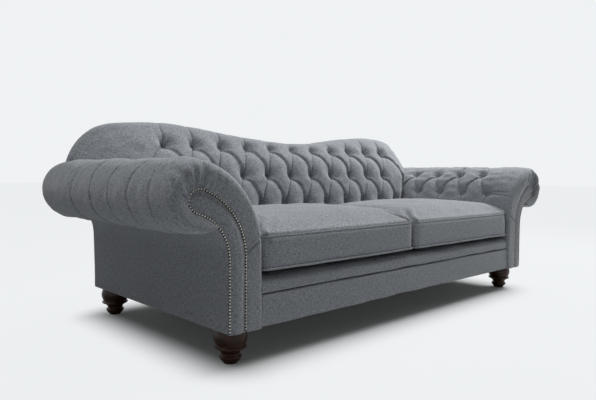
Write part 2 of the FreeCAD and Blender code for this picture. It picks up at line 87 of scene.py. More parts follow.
# Back outline
CREST_X = HALF_WIDTH - 0.448
DIP_DROP = 0.057
DIP_SHARE = 0.6
SHOULDER_R = 0.22
SHOULDER_X = HALF_WIDTH - 0.080 - SHOULDER_R
SWEEP = 0.34
SWEEP_DEPTH = 0.23
SWEEP_START = 0.002
RAKE, TOP_RAKE = math.radians(15), math.radians(38)
BEND_R = 0.35
BEND_Z = DECK_Z + (CREST_Z - DECK_Z) * 0.657
BEND_Y = REAR - 0.128 - (CREST_Z - BEND_Z) * math.tan(TOP_RAKE)
RIM_R = 0.056
REAR_RIM_R = 0.026
CREVICE = 0.12
CREVICE_WIDTH = 0.14
LEAST_THICK = 0.05
PANEL_INSET = 0.048

# Buttons, and the folds that run between them
PITCH = 2 * (SEAT_HALF - 0.097) / 10
ROW_Z = [DECK_Z + (CREST_Z - DECK_Z) * share for share in (0.841, 0.599, 0.339)]
ROW_COUNT = (11, 10, 11)
BUTTON_R, BUTTON_HIGH = 0.0125, 0.0075
BUTTON_SUNK = 0.002
BACK_DEPTH = 0.042
ARM_DEPTH = 0.032
SWELL = 0.011
ARM_SWELL = SWELL * 0.6
TRENCH = 0.0065
UPPER_LAYER = 0.35
ARM_ROWS = (31, 58)
ARM_FIRST = FRONT + 0.164

# Cushions: the heights of their two seams, their corners and their crowned tops
BOX_LOW, BOX_HIGH = DECK_Z + 0.024, DECK_Z + 0.128
CUSHION_LOW, CUSHION_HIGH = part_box("seat_cushion_right")
CUSHION_C = (CUSHION_LOW + CUSHION_HIGH) / 2
CUSHION_HX = (CUSHION_HIGH.x - CUSHION_LOW.x) / 2
CUSHION_HY = (CUSHION_HIGH.y - CUSHION_LOW.y) / 2
CUSHION_R = 0.032
CROWN = CUSHION_HIGH.z - BOX_HIGH + 0.002
CROWN_EDGE_R = 0.05
CROWN_SLOPE = math.radians(75)

# Feet
FOOT_X = BODY_HALF - 0.0635
FOOT_Y = (FACING_Y + 0.077, REAR - 0.060)
FOOT_SPOTS = [(side * FOOT_X, y) for side, _ in SIDES for y in FOOT_Y]


# Numbers and outlines

def stacked(*parts):
    """Coordinates side by side, each stretched to the same shape."""
    return np.stack(np.broadcast_arrays(*parts), -1)


def pairs(u, v):
    """A grid of every pair of two rows of values."""
    return np.stack(np.meshgrid(u, v, indexing="ij"), -1)


def unit(ways):
    return ways / (np.linalg.norm(ways, axis=-1, keepdims=True) + 1e-12)


def smooth(low, high, value):
    t = np.clip((value - low) / (high - low), 0, 1)
    return t * t * (3 - 2 * t)


def bell(value, width):
    return np.exp(-(value / width) ** 2)


def round_edge(inward, radius):
    """How far a rounded edge has fallen, some way in from it: 1 at the edge and 0 from the radius on."""
    return 1 - np.sqrt(1 - (1 - np.clip(inward / radius, 0, 1)) ** 2)


def waves(points, size, seed, count=14):
    """Smooth seeded noise between about -1 and 1; size is the length of its waves."""
    random = np.random.default_rng(seed)
    points = np.asarray(points, float)
    total = np.zeros(points.shape[:-1])
    for _ in range(count):
        way = random.normal(size=points.shape[-1])
        way *= random.uniform(0.6, 1.6) / (np.linalg.norm(way) * size)
        total += np.sin(2 * np.pi * (points @ way) + random.uniform(0, 2 * np.pi))
    return total / math.sqrt(count)


def arc(centre, radius, first, last, count):
    """Points of a circle between two angles in degrees."""
    angle = np.radians(np.linspace(first, last, count))
    return stacked(centre[0] + radius * np.cos(angle), centre[1] + radius * np.sin(angle))


def straight(a, b, count):
    share = np.linspace(0, 1, count)[:, None]
    return np.array(a, float) * (1 - share) + np.array(b, float) * share


def chain(first, *rest):
    """Stretches of an outline, each of which starts where the one before it ends."""
    return np.concatenate([first, *(part[1:] for part in rest)])


def both_sides(half, sign):
    """A row that starts at the middle of the sofa, with its mirror image before it."""
    return np.concatenate([(half * np.array(sign))[:0:-1], half])


def lengths(path):
    return np.r_[0, np.cumsum(np.linalg.norm(np.diff(path, axis=0), axis=1))]


def at_length(path, where):
    along = lengths(path)
    return np.stack([np.interp(where, along, values) for values in path.T], -1)


def resample(path, count):
    return at_length(path, np.linspace(0, lengths(path)[-1], count))


def heading(origin, target):
    return math.degrees(math.atan2(target[1] - origin[1], target[0] - origin[0]))


def bend_radius(side_x, side_z, centre, radius, inside):
    """Radius of the arc that leaves an upright side at a height and meets a circle smoothly."""
    a, b = side_x - centre[0], centre[1] - side_z
    return (radius ** 2 - a ** 2 - b ** 2) / (2 * a + 2 * (1 if inside else -1) * radius)


ARM_R = bend_radius(SEAT_HALF, ARM_BEND_Z, ROLL, ROLL_R, True)
IN_R = bend_radius(FACING_IN, FACING_BEND_Z, HEAD, HEAD_R, True)
OUT_R = bend_radius(BODY_HALF, FACING_BEND_Z, HEAD, HEAD_R, False)
ARM_C = (SEAT_HALF + ARM_R, ARM_BEND_Z)
IN_C = (FACING_IN + IN_R, FACING_BEND_Z)
OUT_C = (BODY_HALF + OUT_R, FACING_BEND_Z)
ARM_TURN, IN_TURN, OUT_TURN = heading(ARM_C, ROLL), heading(IN_C, HEAD), heading(OUT_C, HEAD)


# Meshes

def new_object(name, data):
    obj = bpy.data.objects.new(name, data)
    bpy.context.scene.collection.objects.link(obj)
    return obj


def grid_mesh(points, uvs, wrap=False, flip=False):
    """A grid of quads over points[u, v]; with wrap the last u joins the first."""
    nu, nv = points.shape[:2]
    i, j = np.meshgrid(np.arange(nu if wrap else nu - 1), np.arange(nv - 1), indexing="ij")
    near = np.stack([i, i + 1, i + 1, i], -1)
    side = np.stack([j, j, j + 1, j + 1], -1)
    if flip:
        near, side = near[..., ::-1], side[..., ::-1]
    faces = ((near % nu) * nv + side).reshape(-1, 4)
    corners = uvs[near, side].reshape(-1, 2)
    mesh = bpy.data.meshes.new("grid")
    mesh.vertices.add(nu * nv)
    mesh.vertices.foreach_set("co", points.reshape(-1).astype(np.float32))
    mesh.loops.add(len(faces) * 4)
    mesh.loops.foreach_set("vertex_index", faces.ravel().astype(np.int32))
    mesh.polygons.add(len(faces))
    mesh.polygons.foreach_set("loop_start", np.arange(0, len(faces) * 4, 4, dtype=np.int32))
    mesh.polygons.foreach_set("use_smooth", np.ones(len(faces), bool))
    layer = mesh.uv_layers.new(name="cloth")
    layer.data.foreach_set("uv", corners.astype(np.float32).ravel())
    mesh.update(calc_edges=True)
    mesh.validate()
    return mesh


def surface_uv(points):
    """Lengths along both directions of a grid, so a weave keeps its scale on the cloth."""
    across = np.linalg.norm(np.diff(points, axis=0), axis=-1).mean(1)
    along = np.linalg.norm(np.diff(points, axis=1), axis=-1).mean(0)
    return pairs(np.r_[0, np.cumsum(across)], np.r_[0, np.cumsum(along)])


def normals(points):
    return unit(np.cross(np.gradient(points, axis=0), np.gradient(points, axis=1)))


def joined(placed):
    """One mesh from several, each (mesh, matrix); the meshes that it is made from are removed."""
    made = bmesh.new()
    for mesh, matrix in placed:
        copy = mesh.copy()
        copy.transform(matrix)
        made.from_mesh(copy)
        bpy.data.meshes.remove(copy)
    for mesh in dict.fromkeys(mesh for mesh, _ in placed):
        bpy.data.meshes.remove(mesh)
    result = bpy.data.meshes.new("joined")
    made.to_mesh(result)
    made.free()
    return result


def together(meshes):
    """One mesh from several that stay where they are."""
    return joined([(mesh, Matrix.Identity(4)) for mesh in meshes])


def welded(mesh, distance=1e-6):
    made = bmesh.new()
    made.from_mesh(mesh)
    bmesh.ops.remove_doubles(made, verts=made.verts, dist=distance)
    made.to_mesh(mesh)
    made.free()
    return mesh


def lathe(profile, count):
    """A round piece turned about Z from a profile of radius and height."""
    angle = np.linspace(0, 2 * np.pi, count, endpoint=False)[:, None]
    r, z = profile.T
    points = stacked(np.cos(angle) * r, np.sin(angle) * r, z)
    around = np.linspace(0, 2 * np.pi * r.max(), count + 1)
    return grid_mesh(points, pairs(around, lengths(profile)), wrap=True)


def dome_profile(radius, high, count, tip):
    """Half of a domed cap's outline, from its rim to a small hole at its tip."""
    angle = np.linspace(0, math.pi / 2, count)
    dome = stacked(radius * np.cos(angle), high * np.sin(angle))
    return np.concatenate([dome[:-1], [(tip, high)]])


def tube(path, radius, count=10, closed=True):
    """A round cord along a path of points."""
    last_step = 0.004
    tangent = np.roll(path, -1, 0) - np.roll(path, 1, 0) if closed else np.gradient(path, axis=0)
    side = unit(np.cross(unit(tangent), (0.0, 0.0, 1.0)))
    over = np.cross(side, unit(tangent))
    angle = np.linspace(0, 2 * np.pi, count, endpoint=False)[None, :, None]
    points = path[:, None] + radius * (np.cos(angle) * side[:, None] + np.sin(angle) * over[:, None])
    points = np.concatenate([points, points[:, :1]], 1)
    u = lengths(path)
    u = np.r_[u, u[-1] + last_step] if closed else u
    v = np.linspace(0, 2 * np.pi * radius, count + 1)
    return welded(grid_mesh(points, pairs(u, v), wrap=closed))


def piece(name, mesh, material, slot, *replaced, body="sofa", fill=None):
    """A piece on its body, with the nodes that it stands for. The fill, how full a padded piece is, is not
    used.
    """
    obj = new_object(name, mesh)
    mesh.name = name
    mesh.materials.clear()
    mesh.materials.append(material)
    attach(obj, body)
    if replaced:
        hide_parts(*replaced)
    return obj


def cover(name, mesh, node, body="sofa", fill=None):
    """A piece in the sofa's own cloth."""
    return piece(name, mesh, COVER, "cover_fabric", node, body=body, fill=fill)


# Materials

class Nodes:
    """A node tree with a few short-hands. A value that is a socket is linked, and others are set."""

    def __init__(self, tree):
        self.tree = tree

    def put(self, node, values):
        for key, value in values.items():
            if isinstance(value, bpy.types.NodeSocket):
                self.tree.links.new(value, node.inputs[key])
            else:
                node.inputs[key].default_value = value

    def node(self, kind, values=None, **settings):
        made = self.tree.nodes.new("ShaderNode" + kind)
        for key, value in settings.items():
            setattr(made, key, value)
        self.put(made, values or {})
        return made

    def math(self, operation, a, b=0.0):
        return self.node("Math", {0: a, 1: b}, operation=operation).outputs[0]

    def total(self, *parts, start=0.0):
        """A weighted sum of values, each (value, weight)."""
        result = start
        for value, weight in parts:
            result = self.math("ADD", result, self.math("MULTIPLY", value, weight))
        return result


class Shader(Nodes):
    """A material with its surface shader."""

    def __init__(self, name, sockets):
        self.material = bpy.data.materials.new(name)
        self.material.use_nodes = True
        super().__init__(self.material.node_tree)
        self.surface = self.tree.nodes["Principled BSDF"]
        self.put(self.surface, sockets)

    def coordinates(self, source="Object", scale=(1, 1, 1)):
        base = self.node("TexCoord").outputs[source]
        return self.node("Mapping", {"Vector": base, "Scale": scale}).outputs[0]

    def noise(self, vector, scale, detail=2.0, rough=0.5):
        values = {"Vector": vector, "Scale": scale, "Detail": detail, "Roughness": rough}
        return self.node("TexNoise", values).outputs["Fac"]

    def colour(self, factor, dark, light):
        """Colours the surface by a factor, between two stops that are each (place, colour)."""
        made = self.node("ValToRGB", {"Fac": factor})
        for mark, (place, colour) in zip(made.color_ramp.elements, (dark, light)):
            mark.position, mark.color = place, (*colour, 1)
        self.put(self.surface, {"Base Color": made.outputs["Color"]})

    def bump(self, height, distance, strength):
        made = self.node("Bump", {"Height": height, "Distance": distance, "Strength": strength})
        self.put(self.surface, {"Normal": made.outputs["Normal"]})
        return self.material


def woven(name, dark, light, thread=0.0016, slub=1.0, source="UV"):
    """Woven melange cloth: crossing threads, slubs and flecks along them and a slow change of shade."""
    s = Shader(name, {
        "Roughness": 0.92, "Sheen Weight": 0.3, "Sheen Roughness": 0.4, "Specular IOR Level": 0.2
    })
    axes = s.node("SeparateXYZ", {"Vector": s.coordinates(source)}).outputs
    over, under = (s.math("SINE", s.math("MULTIPLY", axes[axis], math.pi / thread)) for axis in "XY")
    weave = s.math("MULTIPLY", over, under)
    long, thin = 0.016 * slub, 0.0034 * slub
    warp = s.noise(s.coordinates(source, (1 / long, 1 / thin, 1)), 1.0, 2.0, 0.6)
    weft = s.noise(s.coordinates(source, (1 / thin, 1 / long, 1)), 1.0, 2.0, 0.6)
    fleck = s.noise(s.coordinates(source), 210.0 / slub, 2.0, 0.6)
    cloud = s.noise(s.coordinates(), 5.0, 3.0)
    threads = s.total((warp, 0.5), (weft, 0.5))
    shade = s.total((threads, 0.6), (fleck, 0.4), (weave, 0.03), (cloud, 0.05), start=-0.025)
    s.colour(shade, (0.36, dark), (0.64, light))
    return s.bump(s.total((weave, 0.5), (threads, 2.0), (fleck, 1.2)), 0.0006, 0.8)


def timber(name, dark, light, roughness, coat=0.0, along=(14, 14, 1.6)):
    """Wood with grain along Z: broad figure, rings and fine pores."""
    s = Shader(name, {
        "Roughness": roughness, "Coat Weight": coat, "Coat Roughness": 0.12, "Specular IOR Level": 0.2
    })
    grain = s.coordinates(scale=along)
    broad = s.noise(grain, 6.0, 4.0, 0.55)
    rings = s.node("TexWave", {
        "Vector": grain, "Scale": 3.0, "Distortion": 6.0, "Detail": 3.0, "Detail Scale": 1.6
    }).outputs["Fac"]
    pores = s.noise(s.coordinates(scale=tuple(9 * a for a in along)), 8.0, 2.0)
    figure = s.total((broad, 0.6), (rings, 0.4), (pores, 0.5), start=-0.25)
    s.colour(figure, (0.25, dark), (0.75, light))
    s.put(s.surface, {"Roughness": s.total((broad, 0.18), start=roughness - 0.09)})
    return s.bump(pores, 0.0003, 0.5)


def metal(name, dark, light, roughness):
    """Plated metal with fine spots of tarnish."""
    s = Shader(name, {"Metallic": 1.0, "Roughness": roughness})
    spots = s.noise(s.coordinates(), 900.0, 3.0, 0.6)
    s.colour(spots, (0.3, dark), (0.7, light))
    s.put(s.surface, {"Roughness": s.total((spots, 0.25), start=roughness - 0.12)})
    return s.bump(spots, 0.0001, 0.5)


def pressed_felt(name, dark, light):
    """Matt pressed fibres with small bonded dots."""
    s = Shader(name, {"Roughness": 0.95})
    fibres = s.noise(s.coordinates(), 420.0, 4.0, 0.7)
    dots = s.node("TexVoronoi", {"Vector": s.coordinates(), "Scale": 350.0}).outputs["Distance"]
    s.colour(fibres, (0.3, dark), (0.75, light))
    return s.bump(s.math("ADD", fibres, dots), 0.0004, 0.6)


COVER = woven("cover_fabric", (0.130, 0.139, 0.153), (0.422, 0.446, 0.480))
PLATFORM = woven("platform_cloth", (0.045, 0.046, 0.05), (0.10, 0.103, 0.11), thread=0.0009, slub=0.8)
WEBBING = woven("webbing", (0.16, 0.12, 0.075), (0.36, 0.29, 0.19), thread=0.0026, source="Object")
TAPE = woven("zip_tape", (0.05, 0.052, 0.056), (0.12, 0.124, 0.13), thread=0.0007, slub=0.4)
DUST = pressed_felt("dust_cloth", (0.012, 0.012, 0.013), (0.04, 0.04, 0.042))
WALNUT = timber("turned_wood", (0.014, 0.0048, 0.0020), (0.052, 0.0165, 0.0062), 0.36, coat=0.14)
FRAME_WOOD = timber("frame_wood", (0.34, 0.22, 0.12), (0.6, 0.44, 0.27), 0.62, along=(9, 9, 9))
BRASS = metal("nail_brass", (0.16, 0.15, 0.13), (0.76, 0.74, 0.69), 0.26)
# The nail strip is near black: painted shade that stands in for the shadow between the nail heads.
STRIP_PAINTED_SHADE = metal("nail_strip", (0.006, 0.005, 0.004), (0.026, 0.022, 0.017), 0.5)
STEEL = metal("fixing_steel", (0.35, 0.35, 0.36), (0.6, 0.6, 0.61), 0.32)
ZIP_METAL = metal("zip_metal", (0.12, 0.12, 0.125), (0.3, 0.3, 0.31), 0.3)
GLIDE = pressed_felt("glide_plastic", (0.02, 0.018, 0.016), (0.05, 0.045, 0.04))


# Tufted pads: folds run between the buttons and the cloth swells between them

def fold_line(a, b, bow=0.0, first=1.0, last=1.0, wide=(0.055, 0.075), count=9, lap=0):
    """A fold from a to b in the flat of the pad, bowed to one side, with its strength at both ends.

    Its two widths are the reach of the swell on its left and right.
    """
    a, b = np.array(a, float), np.array(b, float)
    share = np.linspace(0, 1, count)[:, None]
    across = np.array([a[1] - b[1], b[0] - a[0]])
    across *= np.sign(across[1] or 1) / np.linalg.norm(across)
    line = a * (1 - share) + b * share + across * bow * 4 * share * (1 - share)
    return line, np.linspace(first, last, count), wide, lap


def fold_profile(flat, folds):
    """How far each point has risen from the folds, 0 to 1, and how deep it lies in a fold's crease.

    A fold with a lap has an upper layer with a rounded edge, and a lower layer that comes out from
    under it: on the left of the fold where the lap is 1, and on its right where it is -1.
    """
    crease_wide, under_wide, upper_wide = 0.0036, 0.0100, 0.0015
    result, crease = np.ones(len(flat)), np.zeros(len(flat))
    for line, strength, wide, lap in folds:
        reach = max(wide)
        for a, b, sa, sb in zip(line[:-1], line[1:], strength[:-1], strength[1:]):
            low, high = np.minimum(a, b) - reach, np.maximum(a, b) + reach
            near = np.nonzero(((flat > low) & (flat < high)).all(1))[0]
            if not len(near):
                continue
            offset, way = flat[near] - a, b - a
            t = np.clip(offset @ way / (way @ way), 0, 1)
            gap = offset - t[:, None] * way
            left = way[0] * offset[:, 1] - way[1] * offset[:, 0] > 0
            distance = np.sqrt((gap ** 2).sum(1))
            here = sa + (sb - sa) * t
            reached = np.where(left, wide[0], wide[1])
            sunk, deep = round_edge(distance, reached), bell(distance, crease_wide)
            if lap:
                under = left == (lap > 0)
                rising = np.sin(np.clip(distance / reached, 0, 1) * math.pi / 2)
                sunk = np.where(under, 1 - rising, UPPER_LAYER * sunk)
                deep = bell(distance, np.where(under, under_wide, upper_wide))
            result[near] = np.minimum(result[near], 1 - here * sunk)
            crease[near] = np.maximum(crease[near], here * deep)
    return result, crease


def tufted(flat, folds, buttons, depth, fold_share, mouth, seed):
    """How far the cloth lies below the swell of the pad.

    The folds take a share of the depth, and the dishes round the buttons, of a mouth's width, the rest.
    """
    wander, unevenness, pucker = 0.0020, 0.0012, 0.0014
    dish_start, fold_start = 0.008, 0.03
    pucker_at, pucker_wide = 0.024, 0.011
    shape = flat.shape[:-1]
    flat = flat.reshape(-1, 2)
    warped = flat + wander * stacked(waves(flat, 0.11, seed), waves(flat, 0.09, seed + 1))
    profile, crease = fold_profile(warped, folds)
    gap = np.full(len(flat), 9.0)
    angle = np.zeros(len(flat))
    for spot in buttons:
        offset = flat - np.array(spot)
        distance = np.linalg.norm(offset, axis=1)
        closer = distance < gap
        gap[closer] = distance[closer]
        angle[closer] = np.arctan2(offset[closer, 1], offset[closer, 0])
    dish = 1 - np.exp(-(np.maximum(gap - dish_start, 0) / mouth) ** 1.1)
    height = depth * (fold_share * profile + (1 - fold_share) * dish - 1)
    height -= TRENCH * crease * smooth(dish_start, fold_start, gap)
    ring = bell(gap - pucker_at, pucker_wide)
    height += pucker * ring * np.sin(5 * angle + 3 * waves(flat, 0.2, seed + 2))
    height += unevenness * waves(flat, 0.07, seed + 3) * profile
    return height.reshape(shape)


# Back

CREST_BOTH = (CREST_X ** 2 + DIP_DROP ** 2) / (2 * DIP_DROP)
DIP_R = CREST_BOTH * DIP_SHARE
CREST_R = CREST_BOTH - DIP_R
DIP_C = (0, CREST_Z - DIP_DROP + DIP_R)
CREST_C = (CREST_X, CREST_Z - CREST_R)
SHOULDER_Z = CREST_C[1] + math.sqrt((CREST_R - SHOULDER_R) ** 2 - (SHOULDER_X - CREST_X) ** 2)
SHOULDER_C = (SHOULDER_X, SHOULDER_Z)
BEND_HALF = BEND_R * math.tan((TOP_RAKE - RAKE) / 2)
BEND_LOW = BEND_Z - BEND_HALF * math.cos(RAKE)
BEND_HIGH = BEND_Z + BEND_HALF * math.cos(TOP_RAKE)
SWEEP_RUN = SWEEP_DEPTH * math.cos(TOP_RAKE)
SWEEP_R = (SWEEP ** 2 + SWEEP_RUN ** 2) / (2 * SWEEP_RUN)
SWEEP_X = SHOULDER_X + SHOULDER_R - SWEEP
FRONT_ROWS = 190


def crest_line(inset=0.0, last=-12):
    """Half of the back's upper outline, from the middle to the right shoulder."""
    crest_start, crest_end = heading(CREST_C, DIP_C), heading(CREST_C, SHOULDER_C)
    return chain(
        arc(DIP_C, DIP_R + inset, -90, crest_start - 180, 60),
        arc(CREST_C, CREST_R - inset, crest_start, crest_end, 60),
        arc(SHOULDER_C, SHOULDER_R - inset, crest_end, last, 60),
    )


def lean_at(z):
    """Depth of the back's front at a height, and its lean."""
    z = np.asarray(z, float)
    centre_z = BEND_LOW - BEND_R * math.sin(RAKE)
    centre_y = BEND_Y + (BEND_LOW - BEND_Z) * math.tan(RAKE) + BEND_R * math.cos(RAKE)
    lean = np.arcsin(np.clip((z - centre_z) / BEND_R, math.sin(RAKE), math.sin(TOP_RAKE)))
    bent = centre_y - BEND_R * np.cos(lean)
    depth = np.where(z <= BEND_LOW, BEND_Y + (z - BEND_Z) * math.tan(RAKE), bent)
    return np.where(z >= BEND_HIGH, BEND_Y + (z - BEND_Z) * math.tan(TOP_RAKE), depth), lean


def arm_inside(z):
    """How far out the arm's inner side lies at a height."""
    bend = ARM_C[0] - np.sqrt(np.maximum(ARM_R ** 2 - np.maximum(z - ARM_C[1], 0) ** 2, 0))
    roll = ROLL[0] - np.sqrt(np.maximum(ROLL_R ** 2 - (z - ROLL[1]) ** 2, 0))
    turn = ROLL[1] + ROLL_R * math.sin(math.radians(ARM_TURN))
    return np.where(z < turn, bend, np.where(z < ARM_TOP, roll, HALF_WIDTH))


def front_at(x, z):
    """Depth of the back's front, which sweeps back round both shoulders and dips beside the arms."""
    out = np.clip(np.abs(x) - SWEEP_X, 0, 0.95 * SWEEP_R)
    plane = BEND_Y + (z - BEND_Z) * math.tan(TOP_RAKE)
    fall = SWEEP_R - SWEEP_START - np.sqrt(SWEEP_R ** 2 - out ** 2)
    depth = np.maximum(lean_at(z)[0], plane + fall / math.cos(TOP_RAKE))
    depth = depth + CREVICE * round_edge(arm_inside(z) - np.abs(x), CREVICE_WIDTH)
    return np.minimum(depth, REAR - LEAST_THICK)


PROFILE_Z = np.linspace(DECK_Z - 0.02, CREST_Z + 0.02, 400)
PROFILE_T = lengths(stacked(lean_at(PROFILE_Z)[0], PROFILE_Z))


def rise_along(z):
    """Length along the back's front up to a height."""
    return np.interp(z, PROFILE_Z, PROFILE_T)


def row_spots(row):
    count = ROW_COUNT[row]
    return [(k - (count - 1) / 2) * PITCH for k in range(count)]


def back_columns():
    """Feet and tops of the back's columns in the XZ plane, on the right half."""
    tuck, foot_z, end_drop = 0.02, DECK_Z + 0.002, 0.035
    crest = crest_line()
    middle = np.linspace(0, CREST_X, 240)
    middle_top = stacked(middle, np.interp(middle, crest[:, 0], crest[:, 1]))
    side_crest = np.concatenate([middle_top[-1:], crest[crest[:, 0] > CREST_X]])
    beyond = (side_crest[:, 1] < ARM_TOP - end_drop) & (side_crest[:, 0] > SHOULDER_X)
    side_crest = side_crest[:np.nonzero(beyond)[0][0] + 1]
    inner = SEAT_HALF + tuck
    arm = chain(
        straight((CREST_X, foot_z), (inner, foot_z), 20),
        straight((inner, foot_z), (inner, ARM_BEND_Z), 20),
        arc(ARM_C, ARM_R - tuck, 180, ARM_TURN, 60),
        arc(ROLL, ROLL_R - tuck, ARM_TURN, 62, 30),
    )
    side_columns = 170
    tops, feet = resample(side_crest, side_columns), resample(arm, side_columns)
    return chain(stacked(middle, foot_z), feet), chain(middle_top, tops)


def corner_curve(before, corner, after, radius, count):
    """A rounded corner between two directions, as a cubic; all arrays are per column."""
    way_in, way_out = unit(corner - before), unit(after - corner)
    turn = np.arccos(np.clip((way_in * way_out).sum(-1), -1, 1))[:, None]
    reach, handle = radius * np.tan(turn / 2), radius * np.tan(turn / 4) * 4 / 3
    a, d = corner - way_in * reach, corner + way_out * reach
    b, c = a + way_in * handle, d - way_out * handle
    t = np.linspace(0, 1, count)[:, None, None]
    return (1 - t) ** 3 * a + 3 * t * (1 - t) ** 2 * b + 3 * t ** 2 * (1 - t) * c + t ** 3 * d


def back_rows(feet, way, tall):
    """Height along each column, and depth, of every row: up the front, over the rim and down the rear."""
    hem_long, rear_y, step = 0.075, REAR - 0.001, 0.02

    def depth_at(height):
        return front_at(feet[:, 0] + way[:, 0] * height, feet[:, 1] + way[:, 1] * height)

    def between(a, b, count):
        return [a * (1 - share) + b * share for share in np.linspace(0, 1, count)]

    corner = stacked(tall, depth_at(tall))
    thick = REAR - corner[:, 1]
    radius = np.minimum(np.minimum(RIM_R, 0.42 * tall), 0.5 * thick)[:, None]
    rear_radius = np.minimum(np.minimum(REAR_RIM_R, 0.42 * tall), 0.4 * thick)[:, None]
    slope = np.clip((corner[:, 1] - depth_at(tall - step)) / step, 0.1, 1.6)
    before = corner - stacked(1, slope) * step / 2
    rear_corner = stacked(tall, rear_y)
    hem = stacked(tall - np.minimum(hem_long, 0.8 * tall), rear_y)
    front_rim = corner_curve(before, corner, rear_corner, radius, 14)
    rear_rim = corner_curve(corner, rear_corner, hem, rear_radius, 14)
    rows = []
    for share in np.linspace(0, 1, FRONT_ROWS + 1)[:-1]:
        height = front_rim[0][:, 0] * share
        blend = smooth(0.9, 1.0, share)
        aim = corner[:, 1] - slope * (tall - height)
        rows.append(stacked(height, depth_at(height) * (1 - blend) + aim * blend))
    rows += list(front_rim) + between(front_rim[-1], rear_rim[0], 12)[1:-1]
    rows += list(rear_rim) + between(rear_rim[-1], hem, 8)[1:]
    return np.stack(rows, 1)


def make_back():
    feet, tops = (both_sides(half, (-1, 1)) for half in back_columns())
    way = tops - feet
    tall = np.linalg.norm(way, axis=1)
    way /= tall[:, None]
    rows = back_rows(feet, way, tall)
    flat_xz = feet[:, None] + way[:, None] * rows[..., :1]
    x, z = flat_xz[..., 0], flat_xz[..., 1]
    points = stacked(x, rows[..., 1], z)
    # Flat coordinates: x, and the length of cloth up the front and over the top.
    steps = np.linalg.norm(np.diff(points, axis=1), axis=-1)
    climbed = np.concatenate([np.zeros((len(points), 1)), np.cumsum(steps, 1)], 1)
    upto = rise_along(z)
    top = upto[:, FRONT_ROWS, None]
    over = np.arange(rows.shape[1]) > FRONT_ROWS
    upto = np.where(over, top + climbed - climbed[:, FRONT_ROWS, None], upto)
    flat = stacked(x, upto)
    folds, buttons = back_folds()
    height = SWELL + tufted(
        flat, folds, buttons, BACK_DEPTH + SWELL, fold_share=0.17, mouth=0.019, seed=3
    )
    # The relief fades over the rim and towards the rear edge.
    height *= 1 - 0.72 * smooth(top - 0.07, top + 0.03, upto)
    height += 0.002 * waves(points, 0.35, 5)
    height *= smooth(REAR, REAR - 0.03, points[..., 1]) * 0.8 + 0.2
    # Behind the cushions the pad is pressed flat.
    press = 0.003
    pressed = smooth(BOX_HIGH + 0.03, BOX_HIGH - 0.02, z)
    height = height * (1 - pressed) + np.minimum(height, -press) * pressed
    points = points + normals(points) * height[..., None]
    cover("back_pad", grid_mesh(points, flat), "inside_back", fill=0.85)


def back_folds():
    """Folds and buttons of the back in the flat: (x, length up the front)."""
    bow = 0.013
    steep, easy, even = (0.024, 0.060), (0.060, 0.024), (0.06, 0.06)
    level = [rise_along(z) for z in ROW_Z]
    beyond_crest, under_seat = rise_along(CREST_Z) + 0.2, level[2] - 0.2
    rows = [row_spots(row) for row in range(3)]
    upper, middle, lower = rows
    buttons = [(x, at) for row, at in zip(rows, level) for x in row]
    folds = []
    for x in upper:
        folds.append(fold_line((x, level[0]), (x, beyond_crest), last=0.8, wide=(0.03, 0.05)))
        folds.append(fold_line((x, level[2]), (x, under_seat), last=0.6, wide=even))
    for k, x in enumerate(middle):
        for start, wide, lap in ((upper[k], steep, -1), (upper[k + 1], easy, 1)):
            folds.append(fold_line((start, level[0]), (x, level[1]), bow=bow, wide=wide, lap=lap))
        for end, wide, lap in ((lower[k + 1], steep, -1), (lower[k], easy, 1)):
            folds.append(fold_line((x, level[1]), (end, level[2]), bow=bow, wide=wide, lap=lap))
    # The last pleat of the upper row runs out and then down to where the back meets the arm.
    pleat = [(upper[-1], ROW_Z[0]), (0.755, 0.696), (0.786, 0.670), (0.808, 0.637), (0.820, 0.595)]
    pleat.append((0.826, 0.545))
    for side, _ in SIDES:
        route = np.array([(side * x, rise_along(z)) for x, z in pleat])
        wide = steep if side > 0 else easy
        folds.append((route, np.linspace(1.0, 0.8, len(route)), wide, -side))
        low, corner = (side * lower[-1], level[2]), (side * (SEAT_HALF + 0.03), level[2] - 0.02)
        folds.append(fold_line(low, corner, first=0.8, last=0.5, wide=wide))
    return folds, buttons


# Arms

def roll_meeting():
    """Angles of the point where the roll comes down on the outside panel, on the roll and on the panel."""
    apart = math.dist(OUT_C, ROLL)
    a = (OUT_R ** 2 - ROLL_R ** 2 + apart ** 2) / (2 * apart)
    h = math.sqrt(OUT_R ** 2 - a ** 2)
    ux, uz = (ROLL[0] - OUT_C[0]) / apart, (ROLL[1] - OUT_C[1]) / apart
    meet = (OUT_C[0] + a * ux - h * uz, OUT_C[1] + a * uz + h * ux)
    return heading(ROLL, meet), heading(OUT_C, meet)


MEET_ROLL, MEET_OUT = roll_meeting()

# Lengths round the arm's outline: to its rows of buttons, to the roll, its top and its end
ARM_ROW_S = [ARM_BEND_Z - FOOT_TOP + ARM_R * math.radians(a) for a in ARM_ROWS]
ROLL_S = ARM_BEND_Z - FOOT_TOP + ARM_R * math.radians(180 - ARM_TURN)
TOP_S = ROLL_S + ROLL_R * math.radians(ARM_TURN - 90)
END_S = ROLL_S + ROLL_R * math.radians(ARM_TURN - MEET_ROLL)


def arm_outlines():
    """The padded arm's outline and the point of the facing's outline that each of its points gathers to."""
    n_line, n_arc, n_roll = 44, 130, 130
    outer = chain(
        straight((SEAT_HALF, FOOT_TOP), (SEAT_HALF, ARM_BEND_Z), n_line),
        arc(ARM_C, ARM_R, 180, ARM_TURN, n_arc),
        arc(ROLL, ROLL_R, ARM_TURN, MEET_ROLL + 3, n_roll),
    )
    head = chain(
        arc(HEAD, HEAD_R, IN_TURN, OUT_TURN - 180, 80),
        arc(OUT_C, OUT_R, OUT_TURN, MEET_OUT - 2, 40),
    )
    inner = chain(
        straight((FACING_IN, FOOT_TOP), (FACING_IN, FACING_BEND_Z), n_line),
        arc(IN_C, IN_R, 180, IN_TURN, n_arc),
        resample(head, n_roll),
    )
    return outer, inner


